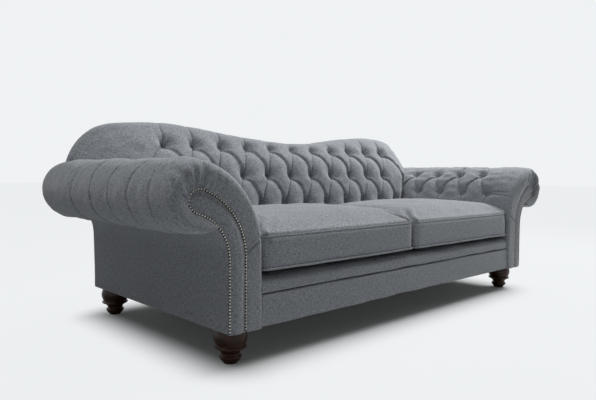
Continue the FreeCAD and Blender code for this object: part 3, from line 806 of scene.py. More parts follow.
def arm_folds(seed):
    """Folds and buttons of the arm in the flat: (length round the outline, depth)."""
    random = np.random.default_rng(seed)
    bow = 0.010
    steep, easy, open_fold = (0.060, 0.022), (0.022, 0.060), (0.03, 0.05)
    low, high = ARM_ROW_S
    front_row = [ARM_FIRST + k * PITCH for k in range(4)]
    back_row = [ARM_FIRST + (k + 0.5) * PITCH for k in range(4)]
    buttons = [(low, y) for y in front_row] + [(high, y) for y in back_row]
    folds = []
    for k, y in enumerate(back_row):
        folds.append(fold_line((high, y), (low, front_row[k]), bow=bow, wide=easy, lap=-1))
        if k < 3:
            folds.append(fold_line((high, y), (low, front_row[k + 1]), bow=bow, wide=steep, lap=1))
        slant = random.uniform(-0.012, 0.006)
        folds.append(fold_line((high, y), (TOP_S, y + slant), last=0.8, wide=(0.025, 0.05)))
        folds.append(fold_line((TOP_S, y + slant), (END_S, y + slant * 2), bow=-0.006, first=0.8,
                               last=random.uniform(0.35, 0.6), wide=(0.010, 0.04), count=12))
    rear_end = (low, back_row[3] + 0.07)
    folds.append(fold_line((high, back_row[3]), rear_end, first=0.9, last=0.8, wide=steep, lap=1))
    ahead = back_row[0] - 0.115
    folds.append(fold_line((TOP_S - 0.03, ahead + 0.004), (END_S, ahead), bow=-0.01, first=0.3, last=0.9,
                           wide=(0.012, 0.05), count=14))
    for y in front_row:
        folds.append(fold_line((low, y), (low - 0.16, y + 0.004), last=0.5, wide=(0.05, 0.06)))
    # Two folds run from the first button to the front edge.
    first, edge = front_row[0], FRONT + 0.02
    folds.append(fold_line((low, first), (low + 0.004, edge), last=0.6, wide=open_fold))
    folds.append(fold_line((low - 0.004, first), (low - 0.026, edge), first=0.8, last=0.6, wide=open_fold))
    return folds, buttons


def gathers(outline_s, share, seed):
    """Small pleats that run out from the nails of the scroll; share is 1 at the nails and 0 at the rim."""
    random = np.random.default_rng(seed)
    at, end = ROLL_S - 0.06, TOP_S + 0.17
    shallow, deeper, sway = 0.0022, 0.0052, 0.016
    narrowest, widest, least_gap, most_gap = 0.006, 0.011, 0.015, 0.034
    total = np.zeros_like(share)
    while at < end:
        # The pleats are deepest, and reach furthest, on the outer side of the roll.
        outer = float(smooth(TOP_S - 0.10, TOP_S + 0.03, at) * smooth(end, end - 0.05, at))
        reach = random.uniform(0.5, 0.9) + 0.7 * outer * random.uniform(0.2, 1.0)
        size = random.uniform(0.5, 1.0) * (shallow + deeper * outer)
        width = random.uniform(narrowest, widest) * (1.3 - 0.6 * np.clip(share, 0, 1))
        off = outline_s - at - random.normal(0, sway) * (1 - share)
        pleat = 0.6 * bell(off - 1.8 * width, 1.4 * width) - bell(off, width)
        total += size * pleat * smooth(1 - reach, 1.0 - 0.3 * reach, share)
        at += random.uniform(least_gap, most_gap)
    return total


def make_arm(side, name, seed):
    outer, inner = arm_outlines()
    s = lengths(outer)
    on_roll = smooth(ROLL_S - 0.24, ROLL_S - 0.06, s)
    closing = 1 - smooth(s[-1] - 0.09, s[-1], s)
    strip_rim, roll_rim = 0.017, 0.015
    rim_share = 0.28 + 0.12 * on_roll
    rim_deep = (strip_rim + roll_rim * on_roll) * (0.35 + 0.65 * closing)
    # The strip beside the facing is flush with it, and the roll stands proud of it.
    flush = 0.003
    bulge = flush + (FACING_Y - FRONT - flush) * on_roll
    face_y = FACING_Y - bulge
    power = 2.6 - 1.1 * on_roll
    rear_tuck, hem = 0.010, 0.06
    rows, flats, shares = [], [], []

    def add(inward, y, flat_y, share):
        place = outer + (inner - outer) * inward
        rows.append(stacked(place[:, 0], y, place[:, 1]))
        flats.append(stacked(s, flat_y))
        shares.append(np.broadcast_to(share, s.shape))

    # The rear end, the length of the arm, and the front rim that runs in to the nails
    for share in np.linspace(1, 0, 10)[:-1]:
        y = REAR - 0.001 - (rear_tuck - 0.001) * smooth(0.12, 0.0, share) ** 2
        add(share, y, REAR + share * hem, -9.0)
    for t in np.linspace(0, 1, 360):
        y = (REAR - rear_tuck) * (1 - t) + (face_y + rim_deep) * t
        add(0.0, y, y, -(y - face_y - rim_deep) / 0.09)
    for share in np.r_[np.linspace(0, 0.28, 12)[1:], np.linspace(0.28, 1, 28)[1:]]:
        beyond = np.clip((share - rim_share) / (1 - rim_share), 0, 1)
        rise = rim_deep * round_edge(share, rim_share)
        fall = bulge * (1 - np.maximum(1 - beyond ** power, 0) ** (1 / power))
        add(share, face_y + rise + fall, FRONT - share * hem, share)
    points, flat, share = np.stack(rows, 1), np.stack(flats, 1), np.stack(shares, 1)
    folds, buttons = arm_folds(seed)
    height = ARM_SWELL + tufted(
        flat, folds, buttons, ARM_DEPTH + ARM_SWELL, fold_share=0.20, mouth=0.016, seed=seed
    )
    # The relief fades towards the front rim and the rear.
    near_front = smooth(FRONT + 0.02, FRONT + 0.09, flat[..., 1])
    near_rear = smooth(REAR - 0.002, REAR - 0.05, flat[..., 1])
    height *= (0.15 + 0.85 * near_front) * (0.1 + 0.9 * near_rear)
    height += 0.0022 * waves(points, 0.3, seed + 9) * near_rear * (0.3 + 0.7 * near_front)
    height += gathers(flat[..., 0], share, seed + 4)
    # The strip's cover is pieced with one slanting seam.
    seam_s, seam_slant, lip_high, groove_deep = 0.270, 0.018, 0.0026, 0.0055
    seam = flat[..., 0] - seam_s - seam_slant * (1 - share)
    on_strip = (share > 0.02) & (share < 0.98)
    height += on_strip * (lip_high * bell(seam - 0.009, 0.006) - groove_deep * bell(seam, 0.0042))
    points = (points - normals(points) * height[..., None]) * [side, 1, 1]
    cover("arm_pad_" + name, grid_mesh(points, flat, flip=side > 0), "inside_arm_" + name, fill=0.85)


def facing_sides(inset=0.0):
    """The two long sides of the facing, from the floor end to the tip of the scroll's head."""
    tip = (IN_TURN + OUT_TURN - 180) / 2
    inner = chain(
        straight((FACING_IN + inset, FOOT_TOP), (FACING_IN + inset, FACING_BEND_Z), 40),
        arc(IN_C, IN_R - inset, 180, IN_TURN, 50),
        arc(HEAD, HEAD_R - inset, IN_TURN, tip, 30),
    )
    outer = chain(
        straight((BODY_HALF - inset, FOOT_TOP), (BODY_HALF - inset, FACING_BEND_Z), 40),
        arc(OUT_C, OUT_R + inset, 180, OUT_TURN, 50),
        arc(HEAD, HEAD_R - inset, OUT_TURN - 180, tip, 30),
    )
    return inner, outer


def make_facing(side, name, seed):
    inner, outer = (long_side[:-1] for long_side in facing_sides())
    across = np.linspace(0, 1, 31)
    flat = inner[:, None] * (1 - across[:, None]) + outer[:, None] * across[:, None]
    width = np.linalg.norm(outer - inner, axis=1)[:, None]
    puff = 0.006 * smooth(0.006, 0.026, width * np.minimum(across, 1 - across))
    y = FACING_Y - puff + 0.0005 * waves(flat, 0.05, seed)
    points = stacked(side * flat[..., 0], y, flat[..., 1])
    cover("arm_front_" + name, grid_mesh(points, flat, flip=side < 0), "arm_facing_" + name, fill=0.9)


def make_nails(side, name, seed):
    inset, pitch, end_gap = 0.0030, 0.0094, 0.01
    inner, outer = facing_sides(inset)
    path = chain(inner, outer[::-1])
    total = lengths(path)[-1]
    # The heads stand on a narrow strip with a low round profile; its near-black colour is painted shade,
    # the shadow between the heads.
    band_half, band_high, band_gap = 0.0034, 0.0011, 0.004
    line = at_length(path, np.linspace(band_gap, total - band_gap, 420))
    along = unit(np.gradient(line, axis=0))
    across = stacked(-along[:, 1], along[:, 0])
    turn = np.linspace(0, 2 * np.pi, 9)
    ring = line[:, None] + across[:, None] * (band_half * np.cos(turn))[:, None]
    depth = FACING_Y - 0.0002 - band_high * np.sin(turn)
    points = stacked(side * ring[..., 0], depth, ring[..., 1])
    band = grid_mesh(points, surface_uv(points), flip=side < 0)
    piece("nail_band_painted_shade_" + name, welded(band), STRIP_PAINTED_SHADE, "nail_brass")
    random = np.random.default_rng(seed)
    dome_r, dome_high, skirt, sunk = 0.0032, 0.0031, 0.0012, 0.0010
    profile = np.concatenate([[(dome_r * 0.92, -skirt)], dome_profile(dome_r, dome_high, 6, 0.0002)])
    dome = lathe(profile, 12)
    count = int((total - 2 * end_gap) / pitch)
    heads = []
    for x, z in at_length(path, end_gap + np.arange(count) * (total - 2 * end_gap) / (count - 1)):
        tilt = Matrix.Rotation(math.radians(90) + random.normal(0, 0.05), 4, "X")
        turn = Matrix.Rotation(random.normal(0, 0.05), 4, "Z")
        size = Matrix.Scale(random.uniform(0.94, 1.04), 4)
        place = Matrix.Translation((side * x, FACING_Y - sunk, z))
        heads.append((dome, place @ turn @ tilt @ size))
    piece("nails_" + name, joined(heads), BRASS, "nail_brass", "nail_strip_" + name)


def make_outside_arm(side, name, seed):
    hem, corner, tuck, tuck_r = 0.012, 0.003, 0.004, 0.006
    puffed, ripple = 0.0025, 0.0012
    path = resample(np.concatenate([
        straight((BODY_HALF - hem, HEM_Z), (BODY_HALF - corner, HEM_Z), 4),
        straight((BODY_HALF, HEM_Z + corner), (BODY_HALF, FACING_BEND_Z), 46),
        arc(OUT_C, OUT_R, 180, MEET_OUT - 12, 40)[1:],
    ]), 90)
    y = FACING_Y + 0.0005 + (REAR - 0.002 - FACING_Y) * np.linspace(0, 1, 150)
    points = stacked(path[:, None, 0], y, path[:, None, 1])
    outward = normals(points)
    outward *= np.sign(outward[30, 75, 0])
    edge = np.minimum(y - y[0], y[-1] - y)
    puff = puffed * smooth(0, 0.1, edge) + ripple * waves(points, 0.25, seed)
    height = puff * smooth(0.0, 0.03, points[..., 2] - FOOT_TOP) - tuck * round_edge(edge, tuck_r)
    points = points + outward * height[..., None]
    mesh = grid_mesh(points * [side, 1, 1], surface_uv(points), flip=side > 0)
    cover("outside_arm_" + name, mesh, "outside_arm_panel_" + name, fill=0.95)


# Buttons

def make_buttons():
    rim = [(BUTTON_R * 0.7, -0.006), (BUTTON_R, -0.003)]
    profile = np.concatenate([rim, dome_profile(BUTTON_R, BUTTON_HIGH, 7, 0.0003)])

    def caps(name, node, spots, depth):
        button, placed = lathe(profile, 24), []
        for point, outward in spots:
            turn = Vector(outward).to_track_quat("Z", "Y").to_matrix().to_4x4()
            sunk = Vector(point) - Vector(outward) * (depth + BUTTON_SUNK)
            placed.append((button, Matrix.Translation(sunk) @ turn))
        cover(name, joined(placed), node)

    back = []
    for row, z in enumerate(ROW_Z):
        depth, lean = lean_at(z)
        outward = (0, -math.cos(lean), math.sin(lean))
        back += [((x, float(depth), z), outward) for x in row_spots(row)]
    caps("back_button_caps", "back_buttons", back, BACK_DEPTH)
    for side, name in SIDES:
        spots = []
        for row, angle in enumerate(ARM_ROWS):
            across, up = math.cos(math.radians(angle)), math.sin(math.radians(angle))
            x, z = side * (ARM_C[0] - ARM_R * across), ARM_C[1] + ARM_R * up
            outward = (-side * across, 0, up)
            spots += [((x, ARM_FIRST + (k + row / 2) * PITCH, z), outward) for k in range(4)]
        caps("arm_button_caps_" + name, "arm_buttons_" + name, spots, ARM_DEPTH)


# Seat front, platform and underside

def swept_x(profile, half, seed, ripple, count=240):
    """A profile in the YZ plane drawn across the sofa, with a slow ripple."""
    x = np.linspace(-half, half, count)
    points = stacked(x[:, None], profile[:, 0], profile[:, 1])
    along = np.gradient(profile, axis=0)
    outward = unit(stacked(-along[:, 1], along[:, 0]))
    flat = pairs(x, lengths(profile))
    lift = ripple * waves(flat * [1, 2.5], 0.22, seed)
    points[..., 1:] += outward * lift[..., None]
    return grid_mesh(points, flat)


def make_seat_front():
    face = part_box("front_border")[0].y
    hem, groove, turn_in, side_gap = 0.014, 0.010, 0.01, 0.0015
    low_r, seam_r, lip_r = 0.006, 0.008, 0.009
    border_ripple, lip_ripple = 0.0009, 0.0013
    half = SEAT_HALF - side_gap
    turn_z = SEAM_Z - 0.010
    border = np.concatenate([
        straight((face + hem, HEM_Z + 0.001), (face + low_r, HEM_Z), 4),
        arc((face + low_r, HEM_Z + low_r), low_r, -90, -180, 7)[1:],
        straight((face, FOOT_TOP + 0.012), (face, turn_z), 26),
        arc((face + seam_r, turn_z), seam_r, 180, 95, 8)[1:],
        straight((face + groove, SEAM_Z - 0.0015), (face + groove + turn_in, SEAM_Z - 0.001), 3),
    ])
    cover("border_cover", swept_x(border, half, 21, border_ripple), "front_border", fill=0.95)
    low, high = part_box("front_lip")
    radius, seam_z = (DECK_Z - low.z) / 2, low.z + 0.001
    lip = np.concatenate([
        straight((low.y + groove + turn_in, seam_z), (low.y + groove, seam_z), 3),
        arc((low.y + lip_r, seam_z + lip_r), lip_r, 268, 180, 9)[1:],
        straight((low.y, low.z + 0.012), (low.y, low.z + radius - 0.004), 5),
        arc((low.y + radius, low.z + radius), radius, 178, 92, 18),
        straight((low.y + radius + 0.004, DECK_Z), (high.y, DECK_Z), 10),
    ])
    cover("lip_cover", swept_x(lip, half, 22, lip_ripple), "front_lip", fill=0.8)


def level_grid(node, count_x, count_y):
    """A level grid over a node's box, and how far in from its edges each point lies."""
    low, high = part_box(node)
    flat = pairs(np.linspace(low.x, high.x, count_x), np.linspace(low.y, high.y, count_y))
    x, y = flat[..., 0], flat[..., 1]
    edge = np.minimum(np.minimum(x - low.x, high.x - x), np.minimum(y - low.y, high.y - y))
    return flat, edge


def make_platform():
    flat, edge = level_grid("seat_platform", 164, 60)
    spring_gap, spring_high, sunk, fall, fall_r, ripple = 0.115, 0.0016, 0.0018, 0.012, 0.014, 0.0008
    springs = np.cos(2 * np.pi * flat[..., 0] / PITCH) * np.cos(2 * np.pi * flat[..., 1] / spring_gap)
    z = DECK_Z - sunk - fall * round_edge(edge, fall_r) + spring_high * springs * smooth(0, 0.05, edge)
    z += ripple * waves(flat, 0.2, 31)
    mesh = grid_mesh(stacked(flat[..., 0], flat[..., 1], np.minimum(z, DECK_Z)), flat)
    piece("platform_cover", mesh, PLATFORM, "platform_cloth", "seat_platform", fill=0.9)


def make_dust_cover():
    low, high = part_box("dust_cover")
    flat, edge = level_grid("dust_cover", 156, 80)
    sagging, ripple, under_rails = 0.004, 0.0006, 0.0006
    sag = sagging * smooth(0.03, 0.3, edge) + ripple * waves(flat, 0.12, 41)
    z = high.z - under_rails - np.maximum(sag, 0)
    mesh = grid_mesh(stacked(flat[..., 0], flat[..., 1], z), flat, flip=True)
    # Round holes let the feet through: faces go, and the edge of each hole is drawn on to its circle.
    hole, hole_edge, near = 0.046, 0.050, 0.07
    made = bmesh.new()
    made.from_mesh(mesh)
    for spot in (Vector(place) for place in FOOT_SPOTS):
        away = {v: (v.co.xy - spot).length for v in made.verts}
        gone = [f for f in made.faces if all(away[v] < hole_edge for v in f.verts)]
        bmesh.ops.delete(made, geom=gone, context="FACES")
        for v in made.verts:
            if v.is_boundary and (v.co.xy - spot).length < near:
                v.co.xy = spot + (v.co.xy - spot).normalized() * hole
    bmesh.ops.delete(made, geom=[v for v in made.verts if not v.link_faces], context="VERTS")
    made.to_mesh(mesh)
    made.free()
    obj = piece("dust_sheet", mesh, DUST, "dust_cloth", "dust_cover")


def make_feet():
    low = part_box("turned_feet")[0].z
    big, tip = 0.0535, 0.004
    bead = big * 0.062

    def at(radius, height):
        """Points of the profile, from shares of the greatest radius and of the height."""
        return stacked(big * np.asarray(radius), low + (FOOT_TOP - low) * np.asarray(height))

    cove, vase, neck = np.linspace(0, 1, 10), np.linspace(0, 1, 16), np.linspace(0, 1, 6)
    profile = np.concatenate([
        [(tip, low)],
        at((0.40, 0.44), (0, 0.012)),
        straight(at(0.47, 0.03), at(0.60, 0.10), 5),
        [at(0.63, 0.13)],
        arc(at(0.615, 0.175), bead, -60, 60, 7),
        at((0.60, 0.565), (0.225, 0.24)),
        at(0.55 + 0.36 * cove ** 2.2, 0.25 + 0.17 * cove),
        arc(at(0.90, 0.455), bead, -50, 60, 7),
        at((0.895, 0.855, 0.855, 0.89), (0.50, 0.512, 0.522, 0.535)),
        at(0.895 + 0.105 * np.sin(0.83 * np.pi * vase), 0.545 + 0.33 * vase),
        at(0.94 - 0.10 * neck ** 1.5, 0.885 + 0.115 * neck),
        [(tip, FOOT_TOP)],
    ])
    foot = lathe(profile, 56)
    random = np.random.default_rng(5)
    placed = []
    for x, y in FOOT_SPOTS:
        turn = Matrix.Rotation(random.uniform(0, 6.28), 4, "Z")
        placed.append((foot, Matrix.Translation((x, y, 0)) @ turn))
    piece("feet", joined(placed), WALNUT, "turned_wood", "turned_feet")


# Outside back

def make_outside_back():
    crest = crest_line(PANEL_INSET, -40)
    falling = crest[:np.argmax(crest[:, 0]) + 1]
    head_top = arc(HEAD, HEAD_R, 90, -2, 20)
    under = chain(
        straight((BODY_HALF, FACING_BEND_Z - 1e-4), (BODY_HALF, FACING_BEND_Z), 2),
        arc(OUT_C, OUT_R, 180, OUT_TURN, 40),
        arc(HEAD, HEAD_R, OUT_TURN - 180, -2, 24),
    )
    tuck, tuck_r, puffed, ripple, step = 0.005, 0.009, 0.0022, 0.0012, 0.0005
    crest_end, last = falling[-1, 0], HEAD[0] + HEAD_R - 0.0006
    x = np.concatenate([
        np.linspace(0, BODY_HALF - 0.004, 120), np.linspace(BODY_HALF, crest_end - step, 44),
        np.linspace(crest_end + step, last, 16),
    ])
    high = np.interp(x, falling[:, 0], falling[:, 1])
    cap = np.interp(x, head_top[:, 0], head_top[:, 1])
    high = np.where(x > crest_end, cap, np.maximum(high, np.where(x > HEAD[0], cap, 0)))
    low = np.where(x < BODY_HALF, HEM_Z, np.interp(x, under[:, 0], under[:, 1]))
    x, low, high = (both_sides(row, sign)[:, None] for row, sign in ((x, -1), (low, 1), (high, 1)))
    share = np.linspace(0, 1, 110)
    z = low * (1 - share) + high * share
    edge = np.minimum(np.minimum(z - low, high - z), np.maximum(last - np.abs(x), 0) + 0.002)
    flat = stacked(x, z)
    puff = puffed * smooth(0, 0.1, edge) + ripple * waves(flat, 0.3, 51)
    points = stacked(x, REAR - step - tuck * round_edge(edge, tuck_r) + puff, z)
    cover("outside_back", grid_mesh(points, flat, flip=True), "outside_back_panel", fill=0.97)


# Cushions

def plan_point(u, v, half_x, half_y, radius):
    """A square grid laid on a rectangle with round corners."""
    x, y = u * half_x, v * half_y
    px = np.clip(np.abs(x) - (half_x - radius), 0, None) / radius
    py = np.clip(np.abs(y) - (half_y - radius), 0, None) / radius
    both = (px > 0) & (py > 0)
    nx, ny = px * np.sqrt(1 - py ** 2 / 2), py * np.sqrt(1 - px ** 2 / 2)
    x = np.where(both, np.sign(x) * (half_x - radius + radius * nx), x)
    y = np.where(both, np.sign(y) * (half_y - radius + radius * ny), y)
    return x, y


def rim_loop(nx, ny):
    """Row and column numbers round the edge of a grid."""
    loop = [(i, 0) for i in range(nx - 1)] + [(nx - 1, j) for j in range(ny - 1)]
    loop += [(i, ny - 1) for i in range(nx - 1, 0, -1)] + [(0, j) for j in range(ny - 1, 0, -1)]
    return tuple(np.array(loop).T)


def crown_arch(inward, half):
    """Height of a cushion's top, some way in from one edge: a round edge and a flatter crown."""
    sunk, foot = CROWN_EDGE_R * math.cos(CROWN_SLOPE), CROWN_EDGE_R * math.sin(CROWN_SLOPE)
    reach, lift = half - foot, CROWN + sunk
    radius = (reach ** 2 + lift ** 2 - CROWN_EDGE_R ** 2) / (2 * (lift - CROWN_EDGE_R))
    edge = np.sqrt(np.maximum(CROWN_EDGE_R ** 2 - (foot - inward) ** 2, 0)) - sunk
    crown = CROWN - radius + np.sqrt(radius ** 2 - (half - inward) ** 2)
    turn = foot - CROWN_EDGE_R * reach / (radius - CROWN_EDGE_R)
    return np.where(inward < turn, edge, crown)


def cushion_start():
    """The sewn cover before it is filled: two panels and a boxing, welded along their seams."""
    nx, ny, nz = 108, 78, 13
    soft, belly = 0.010, 0.022
    spread = [1.18 * w - 0.18 * w ** 3 for w in (np.linspace(-1, 1, nx), np.linspace(-1, 1, ny))]
    u, v = np.meshgrid(*spread, indexing="ij")
    x, y = plan_point(u, v, CUSHION_HX, CUSHION_HY, CUSHION_R)
    over_x = crown_arch((1 - np.abs(u)) * CUSHION_HX, CUSHION_HX)
    over_y = crown_arch((1 - np.abs(v)) * CUSHION_HY, CUSHION_HY)
    part = np.clip(0.5 + (over_y - over_x) / (2 * soft), 0, 1)
    dome = over_y * (1 - part) + over_x * part - soft * part * (1 - part)
    dome *= smooth(0, 0.02, np.minimum(over_x, over_y)) * 0.3 + 0.7
    rest = (1 - np.abs(u) ** 3.2) * (1 - np.abs(v) ** 2.6)
    top = stacked(x, y, BOX_HIGH + np.maximum(dome, 0))
    bottom = stacked(x, y, BOX_LOW - belly * rest ** 0.5)
    loop = rim_loop(nx, ny)
    top[loop + (2,)] = BOX_HIGH
    bottom[loop + (2,)] = BOX_LOW
    rim = stacked(x[loop], y[loop])
    z = np.linspace(BOX_LOW, BOX_HIGH, nz)
    boxing = stacked(rim[:, :1], rim[:, 1:], z)
    flat = stacked(x, y)
    mesh = together([
        grid_mesh(top, flat),
        grid_mesh(bottom, flat, flip=True),
        grid_mesh(boxing, pairs(lengths(np.r_[rim, rim[:1]]), z), wrap=True),
    ])
    return welded(mesh, 1e-5), rim


def filled(mesh):
    """Blows the cover up with the cloth solver, its seams held, and returns the settled mesh."""
    obj = new_object("cushion_sim", mesh)
    co = np.array([v.co for v in mesh.vertices])
    half = np.array([CUSHION_HX, CUSHION_HY])
    out = np.maximum(np.abs(co[:, :2]) - (half - CUSHION_R), 0) / CUSHION_R
    rim = np.where((out > 0).all(1), np.linalg.norm(out, axis=1), out.max(1)) > 0.999
    seams = (np.abs(co[:, 2] - BOX_LOW) < 1e-4) | (np.abs(co[:, 2] - BOX_HIGH) < 1e-4)
    held = obj.vertex_groups.new(name="seams")
    held.add([int(i) for i in np.nonzero(rim & seams)[0]], 1.0, "REPLACE")
    cloth = obj.modifiers.new("Cloth", "CLOTH")
    settings = cloth.settings
    settings.quality = 6
    settings.mass = 0.25
    settings.tension_stiffness = settings.compression_stiffness = 14
    settings.shear_stiffness = 8
    settings.bending_stiffness = 0.6
    settings.use_pressure = True
    settings.uniform_pressure_force = 4.0
    settings.vertex_group_mass = "seams"
    settings.effector_weights.gravity = 0
    cloth.collision_settings.use_self_collision = False
    scene = bpy.context.scene
    last = 20
    cloth.point_cache.frame_start, cloth.point_cache.frame_end = 1, last
    for number in range(1, last + 1):
        scene.frame_set(number)
    settled = obj.evaluated_get(bpy.context.evaluated_depsgraph_get())
    step = np.array([v.co for v in settled.data.vertices]) - co
    scene.frame_set(1)
    cap = 0.012
    far = np.linalg.norm(step, axis=1, keepdims=True)
    moved = co + step * np.minimum(1, cap / np.maximum(far, 1e-9))
    # The sides press flat on the neighbours, and only the front is free to swell.
    side_room, front_room, rear_room = 0.003, 0.007, -0.0004
    moved[:, 0] = np.clip(moved[:, 0], -half[0] - side_room, half[0] + side_room)
    moved[:, 1] = np.clip(moved[:, 1], -half[1] - front_room, half[1] + rear_room)
    obj.modifiers.clear()
    bpy.data.objects.remove(obj)
    mesh.vertices.foreach_set("co", moved.astype(np.float32).ravel())
    mesh.update()
    return mesh


def make_cushions():
    start, rim = cushion_start()
    start = filled(start)
    base = np.array([v.co for v in start.vertices])
    front_y = CUSHION_C.y - CUSHION_HY
    swell, swell_high, drawn_in, ripple = 0.007, 0.034, 0.006, 0.0018
    dent_deep, dent_wide, dent_in = 0.006, 0.009, 0.012
    for (side, name), seed in zip(SIDES, (61, 71)):
        body = "cushion_" + name
        mesh = start.copy()
        co = base.copy()
        co[:, 2] = np.maximum(co[:, 2], DECK_Z + 0.0006)
        if side < 0:
            co[:, 0] *= -1
            mesh.flip_normals()
        co[:, :2] += (side * CUSHION_C.x, CUSHION_C.y)
        # The front swells over the top seam, and the seam itself is drawn in.
        over_seam = np.clip((co[:, 2] - BOX_HIGH) / swell_high, 0, 1)
        near_front = smooth(front_y + 0.03, front_y + 0.004, co[:, 1])
        co[:, 1] -= swell * np.sin(math.pi * over_seam) * near_front
        sewn = np.abs(co[:, 2] - BOX_HIGH) < 0.0006
        co[:, 1] += drawn_in * sewn * near_front
        co[:, 2] += ripple * waves(co, 0.16, seed) * smooth(0, 0.04, co[:, 2] - BOX_HIGH)
        # A small slanted dent under the top seam where the outer front corner is sewn.
        corner = CUSHION_C.x + CUSHION_HX - dent_in - side * co[:, 0]
        low = BOX_HIGH - co[:, 2]
        along, off = corner * 0.62 + low * 0.78, corner * 0.78 - low * 0.62
        dent = bell(off, dent_wide) * smooth(-0.012, 0.0, along) * smooth(0.055, 0.02, along)
        co[:, 1] += dent_deep * dent * smooth(front_y + 0.03, front_y, co[:, 1])
        mesh.vertices.foreach_set("co", co.astype(np.float32).ravel())
        cover(body + "_pad", mesh, "seat_cushion_" + name, body=body, fill=0.85)
        cords = []
        plan = resample(np.r_[rim, rim[:1]], 420)[:-1]
        for k, (z, proud, thick, sunk) in enumerate((
            (BOX_LOW, 0.0034, 0.0038, 0.0), (BOX_HIGH, 0.0004, 0.0028, 0.005)
        )):
            path = np.c_[plan + unit(plan) * proud, np.full(len(plan), z)]
            path[:, 1] += sunk * smooth(0.03 - CUSHION_HY, 0.004 - CUSHION_HY, path[:, 1])
            path[:, 2] += 0.0009 * waves(path, 0.18, seed + k)
            path[:, 0] = side * (path[:, 0] + CUSHION_C.x)
            path[:, 1] += CUSHION_C.y
            cords.append(tube(path, thick))
        cover("cushion_cord_" + name, together(cords), "cushion_piping_" + name, body=body)


# Zips in the rear boxing of the cushions

def rounded(middle, half, radius, count=5):
    """A rectangle with round corners, in the XZ plane."""
    parts = []
    for sx, sz, first in ((1, 1, 0), (-1, 1, 90), (-1, -1, 180), (1, -1, 270)):
        corner = (middle[0] + sx * (half[0] - radius), middle[1] + sz * (half[1] - radius))
        parts.append(arc(corner, radius, first, first + 90, count))
    return np.concatenate(parts)


def flat_piece(outline, low, high, bevel):
    """A flat piece with bevelled edges: an outline in the XZ plane drawn from one depth to another."""
    middle = outline.mean(0)
    inner = outline - unit(outline - middle) * bevel
    count = len(outline)
    verts = []
    for ring, y in ((inner, low), (outline, low + bevel), (outline, high - bevel), (inner, high)):
        verts += [(x, y, z) for x, z in ring]
    faces = [tuple(range(count)), tuple(range(4 * count - 1, 3 * count - 1, -1))]
    for level in range(3):
        for k in range(count):
            a, b = level * count + k, level * count + (k + 1) % count
            faces.append((b, a, a + count, b + count))
    mesh = bpy.data.meshes.new("flat_piece")
    mesh.from_pydata(verts, [], faces)
    layer = mesh.uv_layers.new(name="UVMap")
    for loop in mesh.loops:
        x, y, z = verts[loop.vertex_index]
        layer.data[loop.index].uv = (x, z + y)
    return mesh


def make_zip(name):
    tooth_pitch, end_gap, stop_gap, tape_gap = 0.003, 0.006, 0.002, 0.0016
    tooth, tooth_shift, stop = (0.0011, 0.0022), 0.0008, (0.0018, 0.0032)
    bevel, tooth_bevel = 0.0003, 0.0002
    low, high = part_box("cushion_zip_" + name)
    tooth_low = low.y + 0.0003
    middle, half = (low + high) / 2, (high - low) / 2
    tape_half = (half.z - tape_gap) / 2
    strips = []
    for over in (-1, 1):
        strip = rounded((middle.x, middle.z + over * (tape_gap + tape_half)), (half.x, tape_half), 0.002)
        strips.append(flat_piece(strip, low.y, high.y - 0.0005, bevel))
    body = "cushion_" + name
    piece("zip_tape_" + name, together(strips), TAPE, "zip_tape", "cushion_zip_" + name, body=body)
    teeth = []
    for k in range(int((high.x - low.x - 2 * end_gap) / tooth_pitch)):
        spot = (low.x + end_gap + k * tooth_pitch, middle.z + (tooth_shift if k % 2 else -tooth_shift))
        teeth.append(flat_piece(rounded(spot, tooth, 0.0006, 2), tooth_low, high.y, tooth_bevel))
    for x in (low.x + stop_gap, high.x - stop_gap):
        block = rounded((x, middle.z), stop, 0.0009, 3)
        teeth.append(flat_piece(block, tooth_low, high.y, bevel))
    piece("zip_teeth_" + name, together(teeth), ZIP_METAL, "zip_metal", body=body)


def make_slider(name):
    low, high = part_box("zip_slider_" + name)
    middle, half = (low + high) / 2, (high - low) / 2
    place, plate, bevel, pull_bevel = (middle.x, middle.z), 0.0016, 0.0004, 0.0002
    bow_half, bow_high, bow_r = 0.0042, high.y - low.y - 0.0022, 0.0006
    bow = stacked(
        middle.x + np.linspace(-bow_half, bow_half, 15),
        low.y + plate + bow_high * np.sin(np.linspace(0, math.pi, 15)) ** 0.6,
        middle.z,
    )
    pull_low, pull_thick, pull_drop, pull_half = high.y - 0.0016, 0.0009, 0.0085, (0.0022, 0.0095)
    pull = rounded((middle.x, middle.z - pull_drop), pull_half, 0.002)
    upper = rounded(place, (half.x - 0.0012, half.z - 0.0013), 0.003)
    mesh = together([
        flat_piece(rounded(place, (half.x, half.z), 0.0034), low.y, low.y + plate, bevel),
        flat_piece(upper, low.y + 0.0012, low.y + 0.0021, bevel),
        tube(bow, bow_r, 8, closed=False),
        flat_piece(pull, pull_low, pull_low + pull_thick, pull_bevel),
    ])
    piece("zip_pull_" + name, mesh, ZIP_METAL, "zip_metal", "zip_slider_" + name, body="slider_" + name)


# Camera, light and floor

CAMERA_PLACE = (-1.9003, -1.7653, 0.5921)
YAW, TILT, CAMERA_ROLL = 0.758, 0.048, 0.008
LENS, SENSOR = 33.36, 36.0
BACKDROP = (0.87, 0.89, 0.9, 1)
FLOOR_DARK, FLOOR_LIGHT = (0.62, 0.632, 0.636), (0.635, 0.647, 0.651)
FLOOR_REACH = 30.0
FILL_LIGHT = 0.10
SHADOW_HALF = {"X": BODY_HALF - 0.08, "Y": REAR - 0.09}
SHADOW_FADE = 0.23


